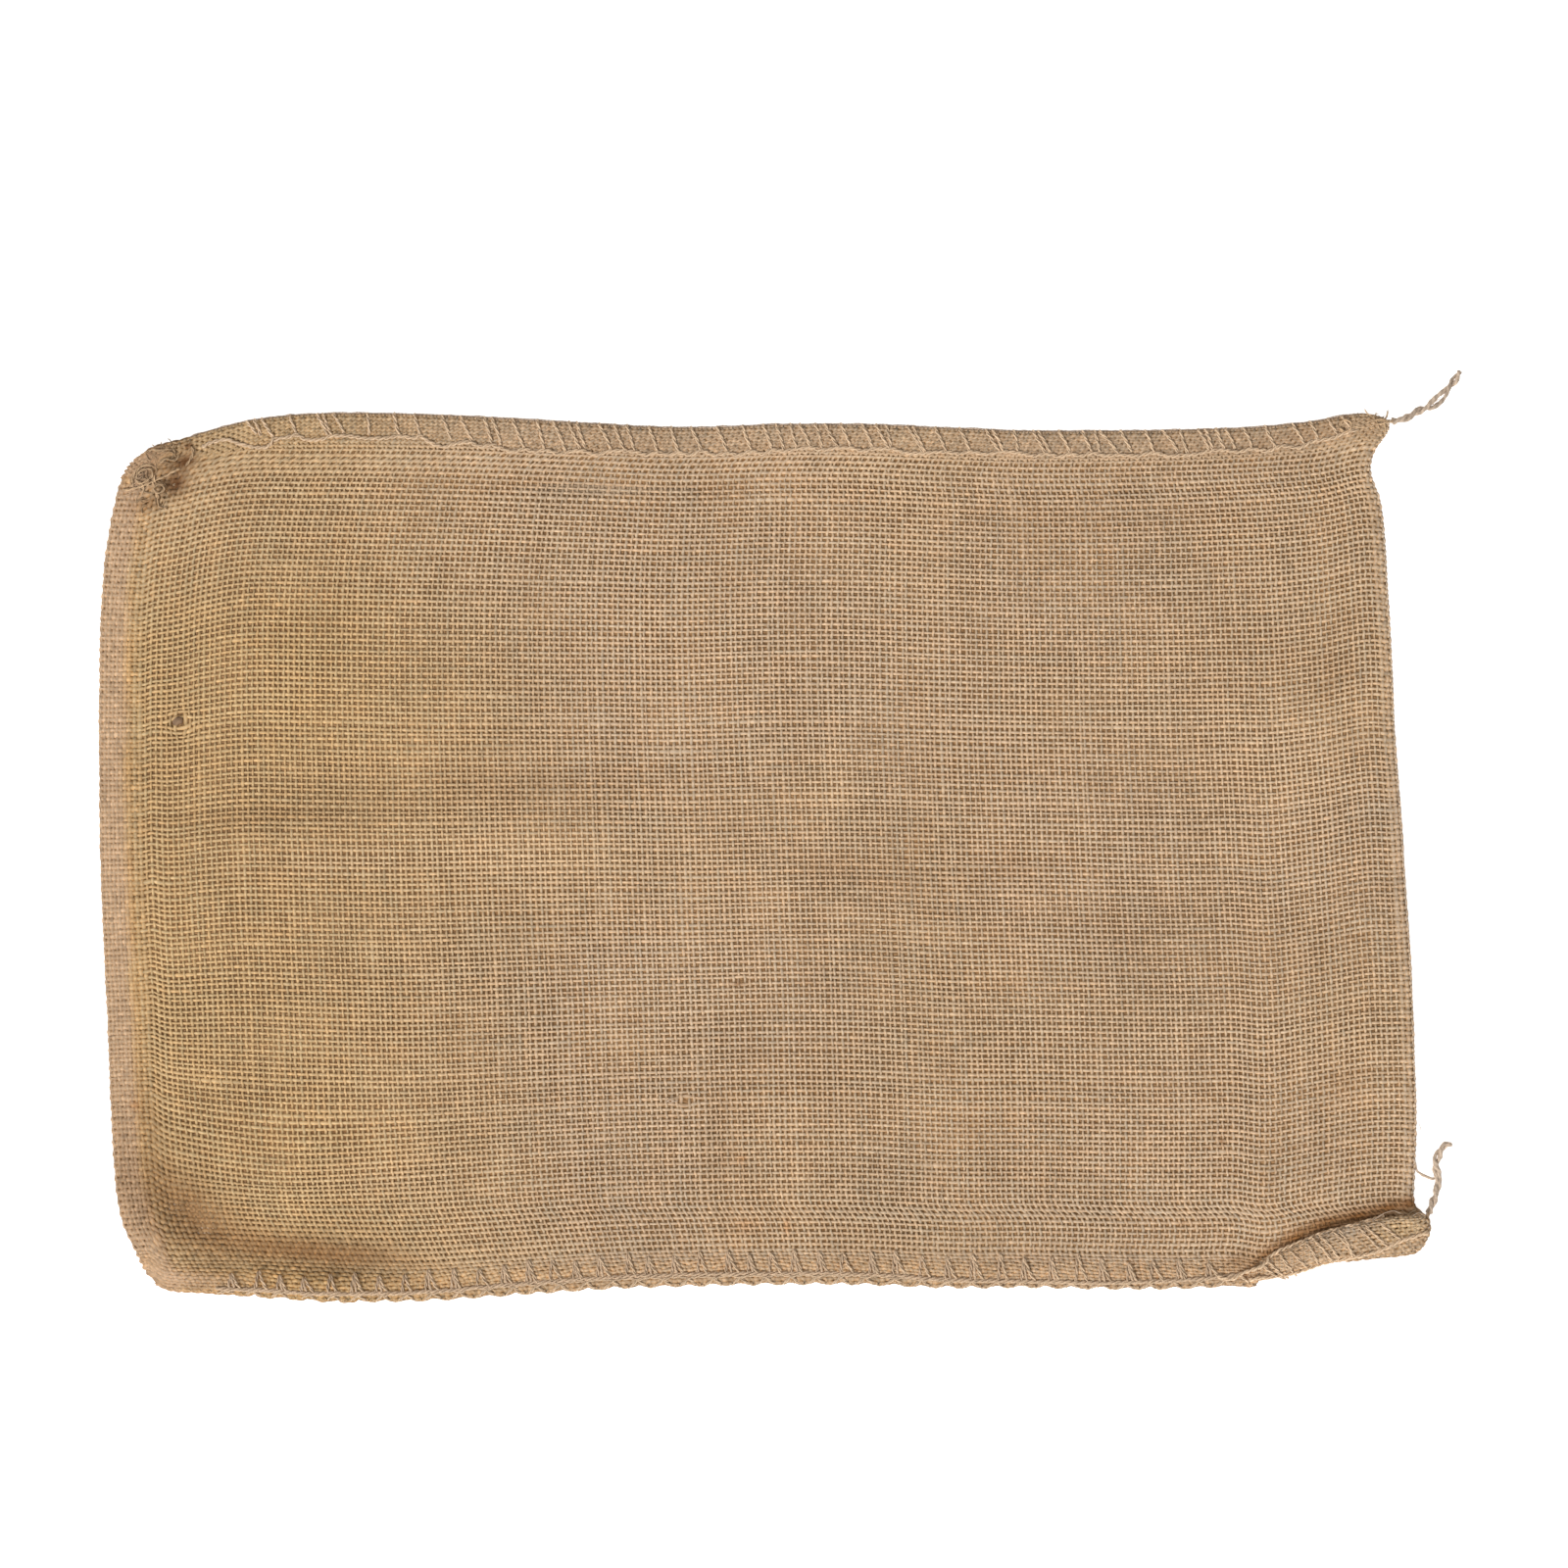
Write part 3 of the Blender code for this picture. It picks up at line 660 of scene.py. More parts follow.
class Weave:
    """The crossing points of all yarns of the upper layer, by column and row."""

    BRIGHT = 1.0  # of its yarns
    STAINS_SHADE_AND_LIGHT = STAINS_SHADE_AND_LIGHT + CREVICE_SHADE

    def __init__(self, relief):
        self.relief = relief
        hem = hem_rows()
        self.hem_rows = len(hem)
        hems = LOWER_HEM_COUNT + UPPER_HEM_COUNT + LOWER_REACH + UPPER_REACH
        middle = int(round((PANEL[1] - hems) / PITCH_Y)) - 1
        inmost = np.repeat(hem[-1:], middle, axis=0)
        share = np.arange(1, middle + 1) / (middle + 1)
        share = np.concatenate([np.zeros(len(hem)), share, np.ones(len(hem))])
        low_terms = np.concatenate([hem, inmost, 0.0 * hem])
        high_terms = np.concatenate([0.0 * hem, inmost, hem[::-1]])
        row_lift = np.concatenate([hem[:, 2], np.ones(middle), hem[::-1, 2]])
        column_share, from_mouth, from_fold, column_lift = stations_across()
        self.columns, self.rows = len(column_share), len(share)

        x = PANEL[0] * (column_share - 0.5) + 0.0 * share
        for _ in range(SETTLING):
            base = unrolled_low(x) + self.offset(low_terms, lower_hem(x) + LOWER_REACH)
            crown = high(x) - self.offset(high_terms, upper_hem(x) + UPPER_REACH)
            y = base * (1.0 - share) + crown * share
            x = (left(y) + from_mouth) * (1.0 - column_share) + (right(y) - from_fold) * column_share
        self.x, self.y = self.bent(x, y, share[None, :], column_share)
        self.y = self.tucked(self.x, self.y)
        self.dense = self.density()
        self.points = self.lifted(row_lift * column_lift)
        self.normals = facing(self.points)

    @staticmethod
    def tucked(x, y):
        """Draws the rows that lie under the roll into it."""
        crest = low(x) + lower_hem(x) - 1.0
        start = unrolled_low(x)
        share = (y - start) / (crest - start)
        inside = low(x) + 3.4 + share * (crest - low(x) - 3.4)
        under = ease((x - ROLL_START - 2.0) / 6.0)
        return np.where(y < crest, y * (1.0 - under) + np.minimum(inside, crest) * under, y)

    @staticmethod
    def offset(terms, width):
        """The distance of each row from its outer edge; `width` is that of the closer rows."""
        return terms[:, 0] * HEM_RADIUS + terms[:, 1] * (width - HEM_RADIUS)

    @staticmethod
    def bent(x, y, share_y, share_x):
        """Bends and shifts the yarns a little, less towards the edges."""
        column = np.arange(x.shape[0])[:, None]
        row = np.arange(x.shape[1])[None, :]
        inner_x, inner_y = off_edges(share_x), off_edges(share_y)
        for cx, cy, rx, ry, way in SWERVES:
            y = y + way * bump(x, y, cx, cy, rx, ry) * inner_y
        y = y - scallop(x) * np.exp(-((y - low(x)) / 2.6) ** 2)
        y = y + 0.6 * scallop(x) * np.exp(-((y - low(x) - 8.5) / 3.4) ** 2)
        own_row = np.random.default_rng(5).normal(0.0, 0.15, x.shape[1])[None, :]
        own_column = np.random.default_rng(6).normal(0.0, 0.15, x.shape[0])[:, None]
        sway = 0.26 * cloud(x, row * 31.0, 46.0, 31.0, 1) + 0.9 * cloud(x, y, 120.0, 90.0, 2)
        y = y + inner_y * (own_row + sway)
        sway = 0.26 * cloud(column * 31.0, y, 31.0, 46.0, 3) + 0.9 * cloud(x, y, 90.0, 120.0, 4)
        x = x + inner_x * (own_column + sway)
        return pushed_apart(x, y)

    def density(self):
        """1 where the cloth is closed, 0 where it is open."""
        x, y = self.x, self.y
        row = np.arange(self.rows)[None, :] + 0.0 * x
        column = np.arange(self.columns)[:, None] + 0.0 * x
        closed = [
            ease((self.hem_rows + 1.0 - row) / 4.0) * (1.0 - ease((x - ROLL_START - 4.0) / 8.0)),
            ease((row - (self.rows - self.hem_rows) - 0.5) / 2.0),
            ease((SELVEDGE_COLUMNS + 2.6 - column) / 3.0),
            0.85 * ease((column - self.columns + 5.0) / 2.0),
        ]
        for pixel, rx, ry, turn, part in CLOSED_PLACES:
            closed.append(part * np.minimum(1.0, 1.5 * bump(x, y, *seen(*pixel), rx, ry, turn)))
        return np.clip(np.maximum.reduce(closed), 0.0, 1.0)

    def lifted(self, lift):
        """The crossing points in space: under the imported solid's upper face, rounded at the edges."""
        x_in = np.clip(self.x, left(self.y) + 1.5, right(self.y) - FOLD_RADIUS)
        y_in = np.clip(self.y, low(self.x) + HEM_RADIUS, high(self.x) - HEM_RADIUS)
        top = self.relief.at(x_in, y_in)
        top = self.relief.beside_roll(self.x, self.y, top)
        top = top + 0.16 * cloud(self.x, self.y, 17.0, 21.0, 7) + 0.10 * cloud(self.x, self.y, 7.0, 6.0, 8)
        z = GROUND_GAP + (top - SINK - GROUND_GAP) * lift
        return np.stack([self.x, self.y, z], axis=-1)


ROLL_LENGTH = 80.0  # from which its columns are spread
ROLL_COLUMNS = 38
ROLL_FACE_ROWS = 7
ROLL_CREST = 2.0  # radius of the roll's upper edge
ROLL_TURNS = (28.0, 62.0, 98.0, 134.0)  # degrees past the top at which yarns lie on that edge
ROLL_FOLD_TURNS = (50.0, 105.0)  # and on its end at the bottom fold
ROLL_RISE = 0.9  # how far the roll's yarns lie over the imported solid's
ROLL_FOOT = 1.5  # how far the roll's first yarn is sunk in the hem


def roll_rows():
    """Each row's distance from the outer edge, its share of the face, its lift and its turn on the crest."""
    rows = []
    for degrees in RIM_TURNS:
        inside, lift = turned(degrees)
        rows.append((HEM_RADIUS * inside, 0.0, lift, 0.0))
    rows += [(HEM_RADIUS, k / ROLL_FACE_ROWS, 1.0, 0.0) for k in range(1, ROLL_FACE_ROWS + 1)]
    rows += [(HEM_RADIUS, 1.0, 1.0, math.radians(degrees)) for degrees in ROLL_TURNS]
    return np.array(rows).T[:, None, :]


def roll_columns():
    """Each column's share of the way to the fold, its distance from the fold and its lift."""
    parts = np.linspace(0.0, 1.0, ROLL_COLUMNS - len(ROLL_FOLD_TURNS))
    columns = [(part, FOLD_RADIUS, 1.0) for part in parts]
    for degrees in ROLL_FOLD_TURNS:
        inside, lift = turned(degrees)
        columns.append((1.0, FOLD_RADIUS * inside, lift))
    return np.array(columns).T[..., None]


class Roll:
    """The crossing points of the rolled-up end of the lower hem, over it and round its upper edge."""

    BRIGHT = np.array((0.900, 0.925, 0.960))  # of its yarns
    STAINS_SHADE_AND_LIGHT = STAINS_SHADE_AND_LIGHT

    def __init__(self, relief):
        inside, share, lift, turn = roll_rows()
        part, from_fold, column_lift = roll_columns()
        x = ROLL_START + ROLL_LENGTH * part + 0.0 * share
        for _ in range(SETTLING):
            face = lower_hem(x) - ROLL_CREST - HEM_RADIUS
            y_face = low(x) + inside + share * face
            y = y_face + ROLL_CREST * np.sin(turn)
            x = ROLL_START * (1.0 - part) + (right(y) - from_fold) * part
        z = GROUND_GAP + (self.top(relief, x, y, y_face) - SINK - GROUND_GAP) * lift * column_lift
        z = np.maximum(z - ROLL_CREST * (1.0 - np.cos(turn)), GROUND_GAP)
        own = np.random.default_rng(8).normal(0.0, 0.12, x.shape)
        self.points = np.stack([x, y + own, z], axis=-1)
        self.columns, self.rows = x.shape
        self.dense = np.ones(x.shape)
        self.normals = facing(self.points)

    @staticmethod
    def top(relief, x, y, y_face):
        """Height of the roll's upper face; `y_face` leaves out the turn over its crest."""
        x_in = np.clip(x, ROLL_START, right(y_face) - FOLD_RADIUS)
        top = relief.at(x_in, np.maximum(y_face, low(x) + HEM_RADIUS))
        grown = ease((x - ROLL_START) / 12.0)
        return top + ROLL_RISE * grown - ROLL_FOOT * (1.0 - grown) + 0.25 * cloud(x, y, 9.0, 5.0, 9)


# --- yarns -------------------------------------------------------------------------------------------


def at_rim(inside):
    """1 where yarns turn round an outer edge, 0 on the cloth inside it."""
    return 1.0 - ease((inside - 0.3) / 1.6)


def read_between(grid, index, at):
    """Rows of grid[index] read at fractional places along its first axis."""
    k = np.clip(np.floor(at).astype(int), 0, grid.shape[0] - 2)
    t = (at - k)[(...,) + (None,) * (grid.ndim - 2)]
    return grid[k, index] * (1.0 - t) + grid[k + 1, index] * t


def yarn_samples(count, parity):
    """Places along a yarn at which its path is modelled, and how high it is there, from -1 to 1."""
    places, heights = [], []
    for k in range(count):
        if (k + parity) % 2 == 0:
            places += [k - SHOULDER, k, k + SHOULDER]
            heights += [math.cos(math.pi * SHOULDER), 1.0, math.cos(math.pi * SHOULDER)]
        else:
            places.append(float(k))
            heights.append(-1.0)
    keep = [(p, h) for p, h in zip(places, heights) if 0.0 <= p <= count - 1.0]
    return np.array([p for p, _ in keep]), np.array([h for _, h in keep])


class Yarn:
    """One yarn: its modelled places, how high it is at each, and how closed the cloth is there.

    `run` is 0 for a lengthwise weft and 1 for a crosswise warp.
    """

    SIDEWAYS = np.array(((0.0, 1.0, 0.0), (-1.0, 0.0, 0.0)))

    def __init__(self, run, number, points, normals, dense, pitch):
        self.run, self.number = run, number
        self.at, self.height = yarn_samples(len(points), (number + run) % 2)
        self.closed = read_between(dense, number, self.at)
        self.gap = read_between(pitch, number, self.at)
        self.half = self.half_width()
        self.path = self.raised(read_between(points, number, self.at), read_between(normals, number, self.at))

    def half_width(self):
        """Half its width: nearly to its neighbours in closed cloth, and thicker at a slub."""
        own = np.random.default_rng(1000 * self.run + self.number)
        fat = 1.0 + own.normal(0.0, 0.08) + 0.22 * line_cloud(self.at, 9.7 * self.number, 2.7, 11 + self.run)
        slub = np.exp(-((self.at - own.uniform(0, len(self.at))) / 5.0) ** 2) * (own.random() < 0.25)
        open_share = (WEFT_HALF / PITCH_Y, WARP_HALF / PITCH_X)[self.run]
        half = self.gap * (open_share * (1.0 - self.closed) + CLOSED_HALF * self.closed)
        half = np.minimum(half, 0.95 + 0.22 * self.closed)
        return half * fat * (1.0 + 0.45 * slub) * np.where(self.height > 0, 1.0, 0.80)

    def raised(self, path, up):
        """The path as it rises and dips at the crossings and leans there; flatter on the outer edges."""
        x, y = path[:, 0], path[:, 1]
        long_edge = at_rim(np.minimum(y - low(x), high(x) - y))
        fold_edge = 0.7 * at_rim(right(y) - x)
        outward = RIM_LIFT * (long_edge - fold_edge) * (-1.0, 1.0)[self.run]
        wave = WAVE * np.minimum(1.0, self.gap / 1.9) * (1.0 - 0.35 * self.closed)
        wave = wave * (1.0 - 0.75 * np.maximum(long_edge, fold_edge))
        path = path + up * (wave * self.height + outward)[:, None]
        lean = (rise_of, lean_of)[self.run](path[:, 0], path[:, 1])
        path[:, 1 - self.run] += lean * np.sign(self.at - np.round(self.at)) * (self.height > 0)
        return path

    def strip(self):
        """Its strip round the path: one side, the ridge and the other side."""
        sideways = self.SIDEWAYS[self.run]
        along = unit(np.gradient(self.path, axis=0))
        aside = unit(sideways - (along @ sideways)[:, None] * along)
        over = np.cross(along, aside)
        thick = self.half / WEFT_HALF
        ridge = self.path + over * (CREST * np.clip(thick, 0.6, 1.2))[:, None]
        drop = over * (FLANK * np.clip(thick, 0.7, 1.2) * (1.0 - 0.35 * self.closed))[:, None]
        reach = aside * self.half[:, None]
        return np.stack([self.path - reach - drop, ridge, self.path + reach - drop], axis=1)

    def tints(self, weave):
        tint = weave.BRIGHT * weave_tint(self, weave.STAINS_SHADE_AND_LIGHT)
        flank = tint * flank_shade(self)
        return np.stack([flank, tint, flank], axis=1)


def lay_yarns(weave, run, wanted, name, finish):
    """A piece made of the wanted yarns that lie lengthwise (run 0) or crosswise (run 1)."""
    grids = weave.points, weave.normals, weave.dense
    if run == 1:
        grids = [grid.swapaxes(0, 1) for grid in grids]
    pitch = np.linalg.norm(np.gradient(grids[0], axis=1), axis=-1)
    verts, faces, tints, uvs = [], [], [], []
    start = 0
    for place, number in enumerate(wanted):
        yarn = Yarn(run, number, *grids, pitch)
        verts.append(yarn.strip().reshape(-1, 3))
        tints.append(yarn.tints(weave).reshape(-1, 3))
        count = len(yarn.at)
        first = start + 3 * np.arange(count - 1)
        for side in (first, first + 1):
            faces.append(np.stack([side, side + 3, side + 4, side + 1], axis=1))
        u = np.repeat((np.arange(count) + 0.5) / (count + 1.0), 3)
        v = (place + np.tile((0.04, 0.5, 0.96), count)) / len(wanted)
        uvs.append(np.stack([u, v], axis=1))
        start += 3 * count
    return make_piece(name, *(np.concatenate(part) for part in (verts, faces, tints, uvs)), finish)


def placed(name, data):
    """An object in the scene that shows a mesh, a camera or a lamp."""
    made = bpy.data.objects.new(name, data)
    bpy.context.scene.collection.objects.link(made)
    return made


def make_piece(name, verts, faces, tints, uvs, finish):
    """A mesh object from arrays in millimetres, with its tint and its own map for the textures.

    `uvs` has one row for each vertex or for each corner of a face.
    """
    mesh = bpy.data.meshes.new(name)
    mesh.vertices.add(len(verts))
    mesh.vertices.foreach_set("co", (verts * MM).astype(np.float32).ravel())
    sides = faces.shape[1]
    mesh.loops.add(faces.size)
    mesh.loops.foreach_set("vertex_index", faces.astype(np.int32).ravel())
    mesh.polygons.add(len(faces))
    mesh.polygons.foreach_set("loop_start", np.arange(0, faces.size, sides, dtype=np.int32))
    mesh.polygons.foreach_set("loop_total", np.full(len(faces), sides, dtype=np.int32))
    mesh.update(calc_edges=True)
    mesh.validate()
    layer = mesh.color_attributes.new("tint", "FLOAT_COLOR", "POINT")
    rgba = np.concatenate([tints, np.ones((len(tints), 1))], axis=1)
    layer.data.foreach_set("color", rgba.astype(np.float32).ravel())
    layer = mesh.uv_layers.new(name="OFBake")
    corners = uvs[faces.ravel()] if len(uvs) == len(verts) else uvs
    layer.data.foreach_set("uv", corners.astype(np.float32).ravel())
    mesh.shade_smooth()
    mesh.materials.append(finish)
    return placed(name, mesh)


# --- twine -------------------------------------------------------------------------------------------


def threaded(points, step):
    """Evenly spaced places along a smooth curve through the points."""
    points = np.array(points, dtype=float)
    run = run_along(points)
    at = np.linspace(0.0, run[-1], max(3, int(round(run[-1] / step)) + 1))
    return np.stack([smooth_table(np.column_stack([run, c]), at) for c in points.T], axis=1)


def frame_along(path):
    """Unit vectors to a path's side and over it, without any twist."""
    along = unit(np.gradient(path, axis=0))
    side = np.cross(along[0], (0.0, 0.0, 1.0))
    if np.linalg.norm(side) < 0.2:
        side = np.cross(along[0], (1.0, 0.0, 0.0))
    aside = np.empty_like(path)
    for k, way in enumerate(along):
        side = unit(side - way * (side @ way))
        aside[k] = side
    return aside, np.cross(aside, along)


def wound(path, offset, turn):
    """A strand's own path where it stands off a thread's, at an angle that is 0 to the side."""
    aside, over = frame_along(path)
    turn = np.asarray(turn)[:, None]
    return path + offset * (np.cos(turn) * aside + np.sin(turn) * over)


def plied(path, offset, lay, phase):
    """A strand's own path where it winds round a thread's; `lay` is the length of one turn."""
    return wound(path, offset, 2.0 * math.pi * run_along(path) / lay + phase)


class Threads:
    """Round threads, gathered and then made into one piece."""

    def __init__(self):
        self.verts, self.faces, self.tints, self.corners = [], [], [], []
        self.count = 0

    def add(self, path, radius, tint, lay=3.2, groove=0.24, sides=6, seed=0, ends=True, taper=1):
        """Adds a thread. Its two plies show as a groove that winds round it, one turn every `lay` mm."""
        path = np.asarray(path)
        aside, over = frame_along(path)
        run = run_along(path)
        own = np.random.default_rng(7000 + seed)
        path = path + aside * (radius * 0.45 * line_cloud(run, 5.7 * seed, 3.1, 52)[:, None])
        angle = 2.0 * math.pi * np.arange(sides)[None, :] / sides
        ply = 0.5 + 0.5 * np.cos(2.0 * (angle - 2.0 * math.pi * run[:, None] / lay + own.uniform(0.0, 3.0)))
        swell = 1.0 + 0.22 * line_cloud(run, 9.1 * seed, 2.6, 51)[:, None]
        size = radius * (1.0 - groove * (1.0 - ply)) * swell
        if ends:
            size[:taper] *= np.linspace(0.05, 1.0, taper, endpoint=False)[:, None]
            size[-taper:] *= np.linspace(1.0, 0.05, taper + 1)[1:, None]
        round_it = np.cos(angle)[..., None] * aside[:, None, :] + np.sin(angle)[..., None] * over[:, None, :]
        self.verts.append((path[:, None, :] + size[..., None] * round_it).reshape(-1, 3))
        # Painted shade: each thread is darker in the groove between its plies
        value = (0.70 + 0.34 * ply) * (1.0 + own.normal(0.0, 0.07, (len(path), 1)) + own.normal(0.0, 0.05))
        self.tints.append((np.asarray(tint) * value[..., None]).reshape(-1, 3))
        self.add_faces(len(path), sides)

    def add_faces(self, rings, sides):
        """Joins the rings of the thread just added, and gives each corner its place along and round it."""
        i, j = (grid.ravel() for grid in np.meshgrid(np.arange(rings - 1), np.arange(sides), indexing="ij"))
        k = (j + 1) % sides
        corners = (i * sides + j, i * sides + k, (i + 1) * sides + k, (i + 1) * sides + j)
        self.faces.append(self.count + np.stack(corners, axis=1))
        along = (np.stack([i, i, i + 1, i + 1], axis=1) + 0.5) / rings
        round_it = np.stack([j, j + 1, j + 1, j], axis=1) / sides
        self.corners.append(np.stack([along, round_it], axis=-1).reshape(-1, 2))
        self.count += rings * sides

    def add_twine(self, path, radius, tint, seed=0):
        """Adds two plies that wind loosely round each other."""
        phase = float(np.random.default_rng(8000 + seed).uniform(0.0, 6.0))
        for ply, shade in enumerate((0.90, 1.0)):
            own = plied(path, PLY_OFFSET * radius, PLY_LAY, phase + math.pi * ply)
            self.add(own, PLY_RADIUS * radius, tint * shade, 2.4, 0.16, sides=5, seed=2 * seed + ply)

    def piece(self, name, finish):
        """The piece; each thread has its own band of the map."""
        total = len(self.corners)
        uvs = []
        for place, corners in enumerate(self.corners):
            uvs.append(np.column_stack([corners[:, 0], (place + 0.05 + 0.9 * corners[:, 1]) / total]))
        parts = (self.verts, self.faces, self.tints, uvs)
        return make_piece(name, *(np.concatenate(part) for part in parts), finish)


THREAD_STEP = 0.75  # between the modelled places of a thread
PLY_OFFSET = 0.56  # of a twine's radius
PLY_RADIUS = 0.62  # the same
PLY_LAY = 6.5  # length in which the plies turn once round each other
STITCH_RADIUS = 0.70
LINE_RADIUS = 0.88  # of the twine along a hem
EDGE_RADIUS = 0.55  # of the twine along the upper outer edge
EDGE_RANGE = (-262.0, 272.0)
ON_CREST = 0.58  # how far a thread's middle lies over the yarns' middles
# Stitches over the upper hem, in pixels: x on the outer edge, and x and y of the inner end
STITCHES_ABOVE = (
    (254, 264, 444), (261, 268, 446), (269, 281, 447), (297, 304, 443), (325, 336, 445), (331, 340, 445),
    (342, 353, 443), (376, 378, 445), (403, 409, 445), (424, 430, 446), (452, 461, 450), (471, 483, 451),
    (495, 503, 453), (503, 512, 455), (524, 536, 458), (549, 556, 459), (565, 578, 461), (581, 593, 459),
    (589, 598, 458), (611.7, 624, 460), (627.5, 637.5, 460), (640, 648, 461), (662.5, 671, 462),
    (685, 693, 462), (705.8, 716, 460), (731.7, 742, 462), (758, 767, 460), (779, 788, 459),
    (792, 800, 460), (806.7, 813, 458), (816, 827, 456), (832, 839, 459), (842, 855, 457),
    (858, 868, 457), (880, 890, 458), (894, 907, 459), (904, 909, 458), (926, 941, 462), (932, 944, 462),
    (954, 965, 462), (979, 989, 461), (1006, 1019, 461), (1013, 1023, 461), (1034, 1038, 462),
    (1054, 1066, 463), (1059, 1071, 463), (1080, 1091, 463), (1104, 1113, 462), (1116, 1121, 463),
    (1122, 1140, 464), (1143, 1154, 462), (1168, 1176, 462), (1186, 1201, 462), (1203, 1211, 464),
    (1222, 1233, 460), (1229, 1236, 460), (1240, 1248, 459), (1250, 1259, 459), (1268, 1276, 458),
    (1290, 1300, 457), (1318, 1329, 454), (1336, 1343, 450), (1354, 1363, 444), (1368, 1376, 440),
)
# The line of twine at the upper hem's foot, in pixels
FOOT_LINE = (
    (208, 458), (215, 454), (225, 451), (235, 450), (243, 453), (259, 457), (275, 457), (281, 450),
    (295, 447.5), (304, 445), (315, 450), (331, 449), (339, 446), (355, 446), (375, 448), (395, 448),
    (409, 446), (423, 448), (430, 446), (439, 452), (453, 457), (465, 454), (479, 452), (491, 456),
    (503, 455), (512, 458), (524, 462), (536, 459), (546, 462), (556, 460), (571, 464), (585, 461),
    (596, 461), (609, 465), (623, 461), (637, 461), (648, 462), (659, 465), (671, 463), (682, 465),
    (693, 463), (705, 465), (716, 461), (729, 465), (742, 463), (754, 465), (767, 461), (778, 464),
    (788, 460), (800, 461), (813, 459), (827, 458), (839, 460), (855, 458), (868, 458), (880, 461),
    (890, 459), (909, 459), (925, 463), (943, 463), (965, 462), (978, 464), (989, 462), (1005, 464),
    (1021, 462), (1038, 463), (1053, 466), (1069, 464), (1080, 467), (1091, 464), (1103, 466),
    (1113, 463), (1127, 466), (1140, 465), (1160, 466), (1176, 463), (1190, 466), (1211, 465),
    (1222, 464), (1234, 461), (1248, 460), (1262, 462), (1276, 459), (1292, 461), (1308, 456),
    (1324, 458), (1336, 452), (1358, 448), (1370, 443), (1382, 440),
)
# Stitches over the lower hem, in pixels: x of their tops
STITCHES_BELOW = (
    239, 266, 288, 312, 339, 363, 388, 414, 438, 464, 490, 515, 540, 564, 587.5, 612.5, 641.7, 661.7,
    688.3, 714.2, 743, 765, 787, 810, 836, 860, 889, 913, 940, 966, 992, 1020, 1044, 1072, 1099, 1123,
    1151, 1175, 1202, 1232,
)
# How far inside the outermost yarn's middle their tops and feet lie: x, depth
STITCH_TOPS = (
    (-250.0, 9.4), (-200.0, 11.4), (-160.0, 12.6), (-90.0, 14.4), (120.0, 14.4), (205.0, 11.5),
)
STITCH_FEET = (
    (-250.0, 2.6), (-160.0, 3.8), (-90.0, 4.9), (40.0, 4.6), (110.0, 2.8), (150.0, 2.4), (205.0, 4.2),
)
# Twine over the roll at the lower right, each a row of pixels
ROLL_THREADS = (
    (
        (1240, 1300), (1254, 1303), (1266.7, 1296.7), (1277, 1293), (1286.7, 1289), (1295, 1280),
        (1311.7, 1270.8), (1326.7, 1265), (1343.3, 1258), (1363, 1252), (1383, 1247), (1396.7, 1243),
        (1411, 1239),
    ),
    (
        (1272, 1304), (1290, 1301), (1308, 1300), (1326.7, 1295), (1346.7, 1288), (1366.7, 1283),
        (1386.7, 1278), (1406.7, 1272), (1423, 1264), (1440, 1258), (1454, 1254),
    ),
    ((1262, 1299), (1271, 1305), (1279, 1311)), ((1286, 1288), (1296, 1297), (1311, 1304)),
    ((1291, 1284), (1303, 1296), (1314, 1303)), ((1303, 1276), (1310, 1287), (1322, 1301)),
    ((1311, 1271), (1322, 1282), (1334, 1293)), ((1329, 1264), (1336, 1274), (1343, 1288)),
    ((1336, 1261), (1347, 1272), (1358, 1286)), ((1343, 1258), (1352, 1266), (1364, 1283)),
    ((1357, 1254), (1368, 1264), (1380, 1280)), ((1363, 1252), (1372, 1266), (1377, 1281)),
    ((1382, 1248), (1390, 1257), (1404, 1272)), ((1388, 1247), (1400, 1258), (1412, 1269)),
    ((1403, 1243), (1411, 1251), (1425, 1262)),
)
# Twine of the crumpled upper corners: brightness, pixels
KNOT_THREADS = (
    (0.80, ((142, 490), (145, 484), (152, 480), (158, 481), (158, 487), (152, 493), (145, 494), (142, 490))),
    (0.76, ((138, 494), (140, 486), (146, 479), (153, 476), (160, 477))),
    (0.74, ((160, 500), (163, 496), (168, 496), (170, 500), (166, 504), (161, 503), (160, 499))),
    (0.86, ((127, 501), (138, 500), (149, 497), (158, 493), (167, 489), (177, 484), (186, 479))),
    (1.10, ((161, 486), (160, 491), (159, 497))),
    (0.74, ((150, 465), (158, 461), (168, 462), (176, 459))),
    (0.68, ((166, 474), (172, 470), (180, 471), (186, 466))),
    (0.76, ((198, 457), (200, 463), (197, 470), (192, 477))),
    (0.84, ((1398, 431), (1405, 429), (1412, 430), (1420, 430))),
    (0.84, ((1402, 434), (1409, 433), (1415, 431), (1422, 429))),
    (0.90, ((1365, 437), (1367, 431), (1373, 430), (1377, 434), (1375, 440), (1369, 442), (1365, 438))),
)
# Twine between the seams and the roots of the free ends: pixels, heights and radius
UPPER_ROOT = (
    (((1404, 433), (1411, 432), (1417, 430.8), (1423, 430)), (4.6, 4.2, 3.5, 3.0), 0.95),
)
LOWER_ROOT = (
    (
        ((1449, 1268), (1454.5, 1260), (1456, 1250), (1455, 1241), (1456, 1235)),
        (4.6, 5.8, 6.0, 5.4, 4.8), 0.85,
    ),
)
